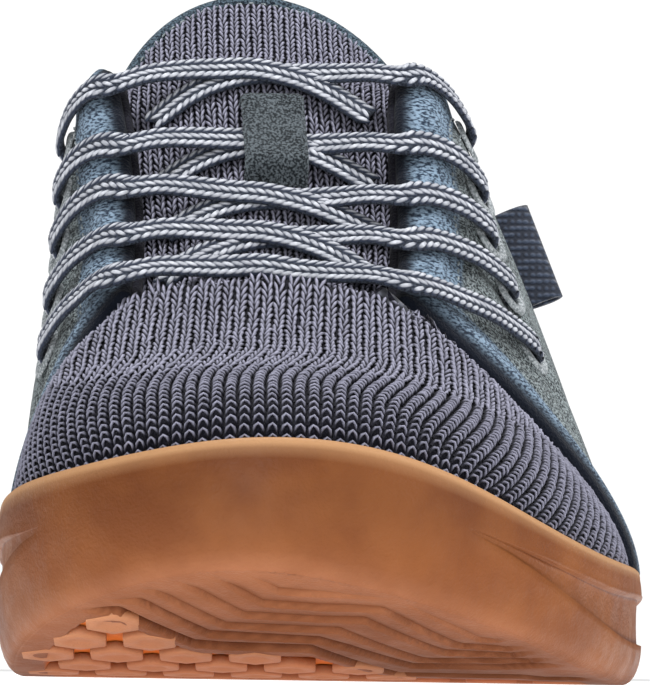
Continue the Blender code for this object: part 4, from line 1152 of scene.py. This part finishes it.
def next_wale(line, width):
    """The line a width to one side of a wale, square to it on the vamp's surface."""
    numbers, rows = line.T
    home = vamp_point(numbers, rows)
    tangent = unit(np.gradient(home, axis=0))
    across = unit(np.cross(tangent, wall_normal(numbers, np.clip(rows, 0.0, 1.0))))
    target = home + across * width
    made = line.copy()
    small = 0.01
    for _ in range(3):
        here = vamp_point(made[:, 0], made[:, 1])
        along = (vamp_point(made[:, 0] + small, made[:, 1]) - here) / small
        rising = (vamp_point(made[:, 0], made[:, 1] + small) - here) / small
        miss = target - here
        aa, ab, bb = (along**2).sum(1), (along * rising).sum(1), (rising**2).sum(1)
        am, bm = (along * miss).sum(1), (rising * miss).sum(1)
        made += np.stack((bb * am - ab * bm, aa * bm - ab * am), axis=-1) / (aa * bb - ab**2)[:, None]
    made = np.round(made, WALE_DIGITS)
    return even_line(made[np.argsort(made[:, 1], kind="stable")])


def wale_lines():
    """(station, row) points along every wale of the vamp, marched out from the middle one."""
    rows = np.linspace(-0.12, 1.06, 110)
    numbers = np.linspace(station("bigtoe_side"), station("little_toe_side"), 600)
    x = vamp_point(numbers[:, None], np.broadcast_to(rows, (600, 110)))[..., 0]
    target = CREST_SHIFT * (smooth(rows, 0.30, 0.62) - 0.5)
    middle = np.stack(([np.interp(target[k], x[:, k], numbers) for k in range(110)], rows), axis=-1)
    middle = np.round(middle, WALE_DIGITS)
    lines = [middle]
    for width in (-WALE, WALE):
        line = middle
        for _ in range(40):
            line = next_wale(line, width)
            shown = (line[:, 1] > 0.0) & (line[:, 1] < 1.0)
            shown &= (line[:, 0] > station("ball_medial")) & (line[:, 0] < station("ball_lateral"))
            if len(line) < 8 or not shown.any():
                break
            lines.append(line)
    return lines


def loop_shape():
    """One knitted loop a unit wide, long and high: an arch with its legs spread and tucked in."""
    line = np.array(((-0.36, -0.66, 0.10), (-0.33, -0.25, 0.42), (-0.24, 0.10, 0.62), (0.0, 0.34, 0.72),
                     (0.24, 0.10, 0.62), (0.33, -0.25, 0.42), (0.36, -0.66, 0.10)))
    _, side, high = line_frame(line, UP)
    return tube([[point + s * 0.130 * math.cos(a) + h * 0.28 * math.sin(a) for a in turns(4)]
                 for point, s, h in zip(line, side, high)])


def chevron_shape():
    """One V of plain knit a unit wide and high: two strands that meet low and overlap the next V."""
    strand = np.array(((0.05, -0.80, 0.12), (0.12, -0.45, 0.55), (0.27, 0.15, 0.72), (0.38, 0.60, 0.45),
                       (0.40, 0.85, 0.10)))
    swell = (0.6, 1.0, 1.1, 0.9, 0.5)
    shapes = []
    for hand in (-1.0, 1.0):
        line = strand * (hand, 1.0, 1.0)
        _, side, high = line_frame(line, UP)
        shapes.append(tube([[point + (s * 0.135 * math.cos(a) + h * 0.28 * math.sin(a)) * w for a in turns(4)]
                            for point, s, h, w in zip(line, side, high, swell)]))
    return join(shapes)


def scatter_loops(name, shape, centres, along, normals, wale, courses, finish, seed):
    """Knitted loops on given places, each as long as its own course and a little uneven."""
    chance = np.random.default_rng(seed)
    side = unit(np.cross(along, normals))
    along = unit(along) + side * chance.normal(0.0, 0.07, (len(centres), 1))
    centres = centres + side * chance.normal(0.0, 0.00006, (len(centres), 1))
    sizes = np.stack((np.full(len(centres), wale), courses, np.full(len(centres), LOOP_HEIGHT)), axis=-1)
    sizes = sizes * chance.normal(1.0, 0.05, sizes.shape)
    stand_for(scatter(name, shape, centres, along, normals, sizes, finish, seed), "knit")


def make_vamp_knit(finish, fine):
    """Knitted loops over the toe, in wales that run back from the bumper and turn over at the crest."""
    centres, along, normals, courses, over = [], [], [], [], []
    for line in wale_lines():
        points = vamp_point(line[:, 0], line[:, 1])
        walked = lengths_along(points)
        course = COURSE * (1.0 + COURSE_GROWTH * smooth(line[:, 1], CREST_LEVEL - 0.04, CREST_LEVEL + 0.12))
        counted = np.concatenate(([0.0], np.cumsum(np.diff(walked) / (course[1:] + course[:-1]) * 2)))
        start = np.interp(0.0, line[:, 1], counted)
        steps = np.arange(start + 0.35, counted[-1], 1.0)
        numbers, rows = resample(steps, counted, line).T
        keep = (rows < 0.995) & (numbers > station("ball_medial") + 0.02)
        keep &= numbers < station("ball_lateral") - 0.02
        ahead = resample(steps + 0.5, counted, points)
        here = wall_point(numbers[keep], rows[keep])
        over.append(rows[keep] > CREST_LEVEL)
        centres.append(here)
        along.append(ahead[keep] - here + 1e-9)
        normals.append(wall_normal(numbers[keep], rows[keep]))
        courses.append(np.interp(steps, counted, course)[keep])
    parts = [np.concatenate(part) for part in (centres, along, normals, courses)]
    over = np.concatenate(over)
    # Loops below the crest take the shaded copy of the yarn, chevrons above it the lit copy.
    for name, shape, keep, yarns, seed in (("vamp_loops", loop_shape(), ~over, finish, 3),
                                           ("vamp_chevrons", chevron_shape(), over, fine, 4)):
        centres, along, normals, courses = (part[keep] for part in parts)
        scatter_loops(name, shape, centres, along, normals, WALE, courses, yarns, seed)


def quarter_columns(side):
    """Stations of a quarter's columns from its back seam to its front edge, finer at the front."""
    if side == "medial":
        return np.concatenate((np.linspace(0.0, 4.0, 64)[:-1], np.linspace(4.0, 6.4, 60)[:-1],
                               np.linspace(6.4, 7.0, 30)))
    return np.concatenate((np.linspace(14.0, 14.5, 30)[:-1], np.linspace(14.5, 17.0, 64)[:-1],
                           np.linspace(17.0, COUNT, 64)))


def walk(grid, axis, end):
    """Distance of each grid point from one border, measured along the grid."""
    steps = np.linalg.norm(np.diff(grid, axis=axis), axis=-1)
    pad = [(0, 0), (0, 0)]
    pad[axis] = (1, 0)
    walked = np.cumsum(np.pad(steps, pad), axis=axis)
    last = np.take(walked, [-1], axis=axis)
    return last - walked if end else walked


def quarter_surface(side):
    """Base points, normals and border distances of one quarter."""
    stations = quarter_columns(side)
    rim = LAST["rim"].at(stations)
    collar = np.clip((rim[:, 1] / LENGTH + 0.5 - 0.47) / 0.06, 0.0, 1.0)
    low = (LIP + GAP) / (3 * np.maximum(LAST["lean"].at(stations)[:, 1], 0.001))
    rise = np.linalg.norm(wall_point(stations, 1.0) - wall_point(stations, 0.9), axis=-1) / 0.1
    high = 1.0 - collar * COLLAR_ROLL / rise
    share = np.concatenate((np.linspace(0.0, 0.62, 36)[:-1], np.linspace(0.62, 0.94, 34)[:-1],
                            1.0 - 0.06 * (1.0 - np.linspace(0.0, 1.0, 12)) ** 1.5))
    rows = low[:, None] + (high - low)[:, None] * share
    s = np.broadcast_to(stations[:, None], rows.shape)
    base = wall_point(s, rows)
    normal = wall_normal(s, rows)
    base = base - normal * crease_depth(base)[..., None]
    seam = GAP / 2
    if side == "medial":
        base[0, :, 0] -= seam
    else:
        base[-1, :, 0] += seam
    top = walk(base, 1, True)
    front = walk(base, 0, side == "medial")
    return base, normal, top, front, stations


def make_quarter(side, finish):
    """One suede overlay with a puffed band along its folded front and throat edges."""
    base, normal, top, front, stations = quarter_surface(side)
    up_throat = np.clip(1.0 - (LAST["rim"].at(stations)[:, 1] / LENGTH + 0.5 - 0.479) / 0.05, 0.0, 1.0)
    throat = top + (1.0 - up_throat[:, None]) * 0.05
    border = np.minimum(front, throat)
    edge = np.sqrt(1.0 - (1.0 - np.clip(np.minimum(front, top) / EDGE_ROUND, 0.0, 1.0)) ** 2)
    from_crest = np.clip(np.abs(border - BAND_WIDTH * 0.45) / (BAND_WIDTH * 0.5), 0.0, 1.0)
    puff = np.cos(from_crest * math.pi / 2) ** 2
    seam = np.exp(-(((border - BAND_WIDTH) / 0.0007) ** 2))
    lift = GAP + SUEDE * (0.15 + 0.85 * edge) + BAND_PUFF * puff - SEAM_DEPTH * seam
    points, faces = sheet(base + normal * lift[..., None], base + normal * GAP)
    band = 1.0 - smooth(border, BAND_WIDTH - 0.0006, BAND_WIDTH + 0.0004)
    # The fold mark is painted shadow near the front and throat edges.
    fold = np.maximum(1.0 - smooth(front, 0.0015, 0.0060), 1.0 - smooth(throat, 0.0006, 0.0032))
    marks = {name: np.concatenate((values, values[:, ::-1]), axis=1).ravel()
             for name, values in (("band", band), ("fold", fold))}
    quarter = make_piece(f"quarter_{side}_suede", points, faces, finish, marks)
    punch_holes(quarter, side)
    stand_for(quarter, "suede", f"quarter_{side}")


def punch_holes(piece, side):
    """Cut the lace holes of one side through a piece."""
    punch = new_object("punch", new_mesh("punch", *join(
        [tube([centre + normal * h + circle_round(normal, 20) * EYELET_HOLE / 2 for h in (-0.006, 0.006)])
         for centre, normal, _ in eyelet_frames(side)])))
    cut = piece.modifiers.new("Holes", "BOOLEAN")
    cut.operation = "DIFFERENCE"
    cut.solver = "EXACT"
    cut.object = punch
    apply_modifiers(piece)
    bpy.data.objects.remove(punch)


def stitch_row(path, normals, pitch=STITCH_PITCH):
    """Places, directions and normals of stitches a pitch apart along a path."""
    walked = lengths_along(path)
    steps = np.arange(pitch / 2, walked[-1], pitch)
    place, ahead = (resample(at, walked, path) for at in (steps, steps + pitch / 4))
    return place, ahead - place + 1e-9, unit(resample(steps, walked, normals))


def make_stitches(name, rows, finish, slot, seed=1):
    """Several rows of stitches as one piece."""
    parts = [stitch_row(path, normals) for path, normals in rows]
    place, along, normal = (np.concatenate([part[k] for part in parts]) for k in range(3))
    sizes = np.tile((STITCH_WIDTH, STITCH_LENGTH, STITCH_WIDTH), (len(place), 1))
    stand_for(scatter(name, stitch_shape(), place, along, normal, sizes, finish, seed), slot)


def quarter_seams():
    """Paths of the stitch rows along each eyestay band and both sides of the back seam."""
    rows = []
    for side in SIDES:
        base, normal, top, front, stations = quarter_surface(side)
        throat = (LAST["rim"].at(stations)[:, 1] / LENGTH + 0.5) < 0.479
        for inset in (BAND_WIDTH - 0.0014, BAND_WIDTH + 0.0018):
            columns = [i for i in np.nonzero(throat)[0] if front[i, 0] >= inset]
            path, path_normals = (np.array([resample(inset, top[i, ::-1], field[i, ::-1]) for i in columns])
                                  for field in (base, normal))
            rows.append((path + path_normals * (GAP + SUEDE + STITCH_LIFT), path_normals))
        column = 3 if side == "medial" else -4
        rows.append((base[column] + normal[column] * (GAP + SUEDE + STITCH_LIFT), normal[column]))
    return rows


def make_eyelets(finish):
    """Rounded rings that lie on the quarters round each lace hole."""
    shapes = []
    low = GAP + SUEDE + GAP / 2
    middle, half = (EYELET_HOLE + EYELET_OUTER) / 4, (EYELET_OUTER - EYELET_HOLE) / 4
    profile = [(middle + half * math.cos(a), low + EYELET_THICKNESS * 1.3 * max(math.sin(a), -0.1) + 0.0001)
               for a in np.radians((0, 30, 60, 90, 120, 150, 180, 270))]
    for side in SIDES:
        for _, normal, start in eyelet_frames(side):
            circle = circle_round(normal, 28)
            rings = []
            for radius, height in profile:
                spots = wall_spots(start, circle * radius).T
                rings.append(wall_point(*spots) + wall_normal(*spots) * height)
            shapes.append(tube(rings, closed=True))
    rings = make_piece("eyelet_rings", *join(shapes), finish)
    stand_for(rings, "eyelet", *[f"eyelet_{side}_{number}" for side in SIDES for number in range(1, 6)])


# Tongue


def tongue_ends():
    """Shares up the throat of the tongue's root and top."""
    return -TONGUE_ROOT / THROAT_LENGTH, 1.0 + TONGUE_TOP / THROAT_LENGTH


def tongue_rows(count=70):
    """Shares up the throat and half widths of the tongue's rows, its free end rounded."""
    root, top = tongue_ends()
    wide = 0.5 + TONGUE_LAP
    start = 0.88
    end = start + (top - start) * np.sin(np.radians(np.linspace(0, 84, 26)))
    ups = np.concatenate((np.linspace(root, start, count)[:-1], end))
    bend = np.clip((ups - start) / (top - start), 0.0, 1.0)
    half = np.where(ups < start, wide, wide * np.sqrt(1.0 - bend**2))
    half = np.minimum(half, 0.5 + (wide - 0.5) * smooth(ups, root, 0.12))
    return ups, half


def tongue_surface(lift, count=41):
    """The tongue's surface, lifted from its middle layer, with its normals."""
    ups, half = tongue_rows()
    share = np.linspace(-1.0, 1.0, count)
    across = 0.5 + half[:, None] * share
    depth = KNIT_WALL + TONGUE_DEPTH + TONGUE_THICKNESS / 2
    points, normals = throat_arc(ups[:, None], across, depth)
    thin = np.sqrt(np.clip(1.0 - share**6, 0.0, 1.0))[None, :, None]
    return points + normals * lift * (0.35 + 0.65 * thin), normals


def make_tongue(cloth, knit, edging, thread):
    """The padded tongue, its knitted face, the rolled edge and that edge's stitches."""
    outer, inner = (tongue_surface(lift)[0] for lift in (TONGUE_THICKNESS / 2, -TONGUE_THICKNESS / 2))
    # The pad wears the near-black knit_shadow finish: painted shade between the chevrons on its face.
    stand_for(make_piece("tongue_pad", *sheet(outer, inner), cloth), "knit", "tongue")
    make_tongue_knit(knit)
    make_tongue_edge(edging, thread)


def make_tongue_knit(finish):
    """Knitted chevrons over the tongue's face."""
    fine_ups = np.linspace(*tongue_ends(), 120)
    depth = KNIT_WALL + TONGUE_DEPTH
    spine, _ = throat_arc(fine_ups, 0.5, depth)
    walked = lengths_along(spine)
    ups = np.interp(np.arange(COURSE, walked[-1] - 0.001, COURSE), walked, fine_ups)
    row_ups, row_half = tongue_rows()
    share = np.linspace(-0.12, 1.12, 200)
    wales = np.arange(-18, 19) * WALE * TONGUE_WALE
    spots_up, spots_across = [], []
    for up in ups:
        run = lengths_along(throat_arc(up, share, depth)[0])
        run -= np.interp(0.5, share, run)
        across = np.interp(wales, run, share)
        limit = np.interp(up, row_ups, row_half) - 0.03
        keep = np.abs(across - 0.5) < limit
        spots_up.append(np.full(keep.sum(), up))
        spots_across.append(across[keep])
    up, across = np.concatenate(spots_up), np.concatenate(spots_across)
    centres, normals = throat_arc(up, across, depth)
    along = unit(throat_arc(up + 0.01, across, depth)[0] - centres)
    courses = np.full(len(centres), COURSE)
    wale = WALE * TONGUE_WALE
    scatter_loops("tongue_knit", chevron_shape(), centres, along, normals, wale, courses, finish, 5)


def make_tongue_edge(finish, thread):
    """The rolled edge round the tongue's free end, with a pale stitch row inside it."""
    grid, normals = tongue_surface(0.0)
    ups, _ = tongue_rows()
    free = int(np.argmax(ups > 0.93))
    edge = np.concatenate((grid[free:, 0], grid[-1, 1:-1], grid[free:, -1][::-1]))
    inner = np.concatenate((grid[free:, 3], grid[-7, 1:-1], grid[free:, -4][::-1]))
    normal = np.concatenate((normals[free:, 0], normals[-1, 1:-1], normals[free:, -1][::-1]))
    run = unit(np.gradient(edge, axis=0))
    away = edge - inner
    away = unit(away - run * (away * run).sum(-1, keepdims=True))
    square = np.cross(run, away)
    angles = turns(14)[:, None]
    centre = edge + away * (BINDING_RADIUS * 0.7 + GAP)
    rings = centre[:, None] + (away[:, None] * np.cos(angles)
                               + square[:, None] * np.sin(angles) * 1.15) * BINDING_RADIUS
    stand_for(make_piece("tongue_edging", *tube(rings), finish), "binding", "tongue_binding")
    path = centre - away * (BINDING_RADIUS + 0.0006) + normal * (BINDING_RADIUS + 0.0004)
    make_stitches("tongue_stitches", [(path, normal)], thread, "binding", seed=8)


# Lace


def lace_over(up, across, lift):
    """Points over the tongue's top surface, lifted by a height, with their normals."""
    point, normal = throat_arc(up, across, KNIT_WALL + TONGUE_DEPTH)
    return point + normal * lift, normal


def eyelet_approach(side, number, fold):
    """A lace end's way from inside its eyelet, over the ring and the quarter to the throat's edge."""
    centre, normal, start = eyelet_frames(side)[number - 1]
    spot = np.array(start)
    edge = np.array((throat_station(side, LACES[number - 1][SIDES.index(side)]), 1.0))
    lift = GAP * 4 + SUEDE + EYELET_THICKNESS + LACE_THICKNESS / 2
    towards = unit(wall_point(*(spot + (edge - spot) * 0.2)) - centre)
    path = [centre - normal * 0.0035 - towards * 0.0006, centre + normal * (lift * 0.35) - towards * 0.0004,
            centre + normal * (lift * 0.92) + towards * 0.0018]
    normals = [towards * 0.5 - normal, normal + towards * 0.2, normal]
    for share in (0.35, 0.60, 0.82):
        place, level = spot + (edge - spot) * share
        normals.append(wall_normal(place, level))
        path.append(wall_point(place, level) + normals[-1] * (lift + fold * share))
    return path, normals


def lace_route(side, number, over, full=False):
    """Points and normals of one lace band from its eyelet, over the throat."""
    fold = LACE_FOLD if full else 0.0
    path, normals = eyelet_approach(side, number, fold)
    own, other, middle, far = LACES[number - 1]
    if side == "lateral":
        own, other = other, own
    rest = LACE_THICKNESS / 2 + GAP * 4 + over
    edge = TONGUE_DEPTH + KNIT_WALL + GAP * 4 + SUEDE + LACE_THICKNESS / 2 + fold
    steps = (0.0, 0.11, 0.22, 0.36, 0.50) + ((0.64, 0.78, 0.89, 1.0) if full else (0.65, 0.78, 0.92))
    ups = np.polyfit((0.0, 0.5, 1.0 if full else 0.9), (own, middle, other if full else far), 2)
    near, towards = (0.0, 1.0) if side == "medial" else (1.0, -1.0)
    for share in steps:
        sink = min((min(share, 1 - share) if full else share) / LACE_SINK, 1.0)
        point, normal = lace_over(np.polyval(ups, share), near + towards * share, edge + (rest - edge) * sink)
        path.append(point)
        normals.append(normal)
    if full:
        end_path, end_normals = eyelet_approach("lateral", number, fold)
        path += end_path[::-1]
        normals += end_normals[::-1]
    return np.array(path), unit(np.array(normals))


def curve_through(rows, count):
    """Even steps along a smooth curve through rows of values."""
    rows = np.asarray(rows)
    padded = np.concatenate((rows[:1] * 2 - rows[1:2], rows, rows[-1:] * 2 - rows[-2:-1]))
    dense = []
    for k in range(1, len(padded) - 2):
        a, b, c, d = padded[k - 1:k + 3]
        t = np.linspace(0.0, 1.0, 24, endpoint=False)[:, None]
        dense.append(0.5 * (2 * b + (c - a) * t + (2 * a - 5 * b + 4 * c - d) * t**2
                            + (3 * b - a - 3 * c + d) * t**3))
    dense = np.concatenate(dense + [rows[-1:]])
    walked = lengths_along(dense[:, :3])
    return resample(np.linspace(0.0, walked[-1], count), walked, dense), walked[-1]


def lace_band(route):
    """A flat band along a route, narrow where it goes into its eyelet, and the lobes of its braid."""
    path, normals = route
    line, length = curve_through(np.concatenate((path, normals), axis=1), 70)
    points = line[:, :3]
    run, side, up = line_frame(points, unit(line[:, 3:]))
    walked = np.linspace(0.0, length, len(points))
    width = LACE_WIDTH * (0.62 + 0.38 * smooth(walked, 0.002, 0.011))
    angles = np.radians((0, 45, 90, 135, 180, 225, 270, 315))
    flat = [[math.copysign(abs(part) ** power, part)
             for part, power in ((math.cos(a), 0.6), (math.sin(a), 0.7))] for a in angles]
    rings = np.stack([points + side * (width * 0.47 * c)[:, None] + up * (LACE_THICKNESS * 0.36 * s)
                      for c, s in flat], axis=1)
    places, runs, ups = [], [], []
    for ridge in range(LACE_RIDGES):
        offset = (ridge + 0.5) / LACE_RIDGES - 0.5
        slant = LOBE_SLANT * (1 if ridge % 2 else -1)
        at = np.arange(0.0008 + ridge * LOBE_PITCH / 3, length, LOBE_PITCH)
        here, ahead, aside, above = (resample(at, walked, field) for field in (points, run, side, up))
        wide = np.interp(at, walked, width)[:, None]
        places.append(here + aside * wide * offset * 0.92 + above * LACE_THICKNESS * 0.16)
        runs.append(ahead + aside * slant)
        ups.append(above + aside * offset * 0.9)
    return tube(rings), [np.concatenate(part) for part in (places, runs, ups)]


def make_laces(finish, braid_shade_band):
    """The bottom bar and four crossings, each band with its braid, run down through the eyelets."""
    routes = {"lace_bar_1": [lace_route("medial", 1, GAP, full=True)]}
    for number in range(2, len(LACES) + 1):
        lifts = (LACE_THICKNESS * LACE_COVER, 0.0)
        routes[f"lace_cross_{number}"] = [lace_route(side, number, lift) for side, lift in zip(SIDES, lifts)]
    for seed, (name, bands) in enumerate(routes.items(), 11):
        made = [lace_band(route) for route in bands]
        # Each band under the braid is dark: painted shade between its ridges.
        stand_for(make_piece(f"{name}_core", *join([band for band, _ in made]), braid_shade_band), "lace", name)
        place, run, up = (np.concatenate([lobes[k] for _, lobes in made]) for k in range(3))
        size = (LACE_WIDTH / LACE_RIDGES * 0.62, LOBE_PITCH * 1.9, LACE_THICKNESS * 0.46)
        sizes = np.tile(size, (len(place), 1))
        braid = scatter(f"{name}_braid", lobe_shape(), place, run, up, sizes, finish, seed)
        stand_for(braid, "lace")


def make_keeper(finish, thread):
    """The suede loop on the tongue that holds the fourth crossing, stitched at its upper end."""
    laces = LACE_THICKNESS * (1.0 + LACE_COVER) + GAP * 4
    high = laces + GAP * 2 + KEEPER_THICKNESS / 2
    low = KEEPER_THICKNESS / 2 + GAP
    share = np.linspace(0.0, 1.0, 40)
    rise = smooth(np.minimum(share, 1.0 - share), 0.02, 0.14)
    up = KEEPER_FRONT + (KEEPER_BACK - KEEPER_FRONT) * share
    points, normals = lace_over(up, KEEPER_ACROSS, 0.0)
    points = points + normals * (low + (high - low) * rise)[:, None]
    _, side, square = line_frame(points, normals)
    across = np.linspace(-1.0, 1.0, 15)
    round_edge = np.sqrt(np.clip(1.0 - np.abs(across) ** 10, 0.0, 1.0))
    middle = points[:, None] + side[:, None] * across[None, :, None] * KEEPER_WIDTH / 2
    half = square[:, None] * (KEEPER_THICKNESS / 2 * round_edge)[None, :, None]
    outer = middle + half
    stand_for(make_piece("keeper_suede", *sheet(outer, middle - half), finish), "suede", "lace_keeper")
    rows = [(outer[place, 1:-1], np.repeat(square[place][None], 13, 0)) for place in (-3, -5)]
    make_stitches("keeper_stitches", rows, thread, "suede", seed=21)


def make_label(finish):
    """A plain woven ribbon folded into a loop, open at both ends, sewn to the outer quarter."""
    start = (float(throat_station("lateral", LABEL_UP)), LABEL_LEVEL)
    top = wall_point(*start)
    normal = wall_normal(*start)
    run = wall_point(start[0] - 0.3, start[1] - 0.12) - top
    run = unit(run - normal * run.dot(normal))
    flat = np.cross(normal, run)
    centre = top + normal * (GAP + SUEDE + GAP + LABEL_REACH / 2 + LABEL_LIFT)
    angles = turns(40)

    def loop(share, wall):
        reach = (LABEL_REACH / 2 - wall) * np.cos(angles) + LABEL_SEWN * np.minimum(np.cos(angles), 0.0)
        width = (LABEL_THICKNESS / 2 - wall) * np.sin(angles) * (1.0 + 0.12 * math.sin(share * math.pi))
        return centre + run * LABEL_LENGTH * (share - 0.5) + normal * reach[:, None] + flat * width[:, None]

    shares = np.linspace(0.0, 1.0, 24)
    rings = [loop(share, 0.0) for share in shares] + [loop(share, LABEL_WALL) for share in shares[::-1]]
    stand_for(make_piece("side_ribbon", *tube(rings, closed=True), finish), "label", "side_label")


# Studio


def make_floor(finish):
    """A wide plain floor."""
    corners = [(x * FLOOR_HALF, y * FLOOR_HALF, 0.0) for x, y in ((-1, -1), (1, -1), (1, 1), (-1, 1))]
    mesh = new_mesh("floor", corners, [(0, 1, 2, 3)])
    mesh.materials.append(finish)
    floor = new_object("floor", mesh)


def add_light(name, place, target, size, power):
    """A square soft light that faces a target."""
    light = bpy.data.lights.new(name, "AREA")
    light.size = size
    light.energy = power
    lamp = new_object(name, light)
    lamp.location = place
    z = unit(np.subtract(place, target))
    x = unit(np.cross(UP + np.array((0.0, 0.001, 0.0)), z))
    lamp.rotation_euler = Matrix(np.column_stack((x, np.cross(z, x), z)).tolist()).to_euler()


def make_studio():
    """Soft light from above and both sides, and a bright plain surround."""
    world = bpy.data.worlds.new("studio")
    world.use_nodes = True
    tree = world.node_tree
    background = tree.nodes["Background"].inputs
    background["Color"].default_value = (1.0, 1.0, 1.0, 1.0)
    seen = tree.nodes.new("ShaderNodeLightPath")
    strength = tree.nodes.new("ShaderNodeMapRange")
    strength.inputs["To Min"].default_value = WORLD_LIGHT
    strength.inputs["To Max"].default_value = WORLD_SEEN
    tree.links.new(seen.outputs["Is Camera Ray"], strength.inputs["Value"])
    tree.links.new(strength.outputs["Result"], background["Strength"])
    bpy.context.scene.world = world
    bpy.context.scene.view_settings.view_transform = "Standard"
    for light in LIGHTS:
        add_light(*light)


def make_camera():
    """The photograph's low view of the toe, with its slight roll."""
    data = bpy.data.cameras.new("camera")
    data.sensor_width = SENSOR
    data.lens = FOCAL_PIXELS * SENSOR / PHOTO_HEIGHT
    data.clip_start = 0.01
    camera = new_object("camera", data)
    turn = Matrix.Rotation(-CAMERA_TURN, 4, "Z") @ Matrix.Rotation(math.pi / 2 + CAMERA_TILT, 4, "X")
    turn = turn @ Matrix.Rotation(CAMERA_ROLL, 4, "Z")
    camera.matrix_world = Matrix.Translation((CAMERA_ACROSS, -LENGTH / 2 - CAMERA_AWAY, CAMERA_HEIGHT)) @ turn
    bpy.context.scene.camera = camera


def main():
    """Dress the shoe and light it."""
    rubber = gum_rubber()
    # Lit and shaded copies of one yarn: the forward-facing loops below the crest get the darker copy as
    # painted shade, the chevrons above it and on the tongue the lighter one.
    loops = yarn("yarn_shaded_below_crest", (0.004, 0.004, 0.010), (0.32, 0.32, 0.415), low=0.45, high=1.0)
    fine = yarn("yarn_lit_above_crest", (0.004, 0.004, 0.010), (0.38, 0.38, 0.49), low=0.44, high=1.0)
    # Near-black cloth under the knit: painted shade between the loops and along the throat's rim.
    shadow = nap("knit_shadow", (0.004, 0.004, 0.008), (0.012, 0.012, 0.020))
    lining = woven("lining_mesh", (0.02, 0.022, 0.03), (0.09, 0.095, 0.12))
    collar = woven("collar_cloth", (0.042, 0.055, 0.078), (0.075, 0.098, 0.135))
    suede = nap("suede", (0.008, 0.011, 0.014), (0.285, 0.330, 0.340),
                (0.014, 0.026, 0.048), (0.230, 0.320, 0.420))
    keeper = nap("keeper_nap", (0.006, 0.008, 0.010), (0.110, 0.130, 0.145))
    edging = nap("edging", (0.010, 0.016, 0.024), (0.105, 0.150, 0.190))
    braid = yarn("lace_yarn", (0.030, 0.038, 0.062), (0.66, 0.68, 0.74), vary=0.35, low=0.40, high=0.95)
    # Dark band under the braid: painted shade between its ridges.
    braid_shade_band = nap("lace_braid_shade", (0.012, 0.015, 0.024), (0.05, 0.06, 0.08))
    pale = nap("stitch_thread", (0.20, 0.23, 0.24), (0.34, 0.38, 0.40))
    ring = nap("eyelet_thread", (0.16, 0.18, 0.19), (0.46, 0.49, 0.51))
    ribbon = woven("ribbon_weave", (0.006, 0.010, 0.022), (0.035, 0.050, 0.085), 0.0006)
    footbed = woven("footbed_weave", (0.03, 0.03, 0.035), (0.12, 0.12, 0.13))
    make_camera()
    make_studio()
    make_floor(pale_floor())
    make_sole(rubber)
    make_footbed(footbed)
    make_upper(collar, shadow, lining)
    make_vamp_knit(loops, fine)
    for side in SIDES:
        make_quarter(side, suede)
    make_stitches("quarter_stitches", quarter_seams(), pale, "suede", seed=2)
    make_eyelets(ring)
    make_tongue(shadow, fine, edging, pale)
    make_laces(braid, braid_shade_band)
    make_keeper(keeper, pale)
    make_label(ribbon)


main()
bpy.context.view_layer.update()
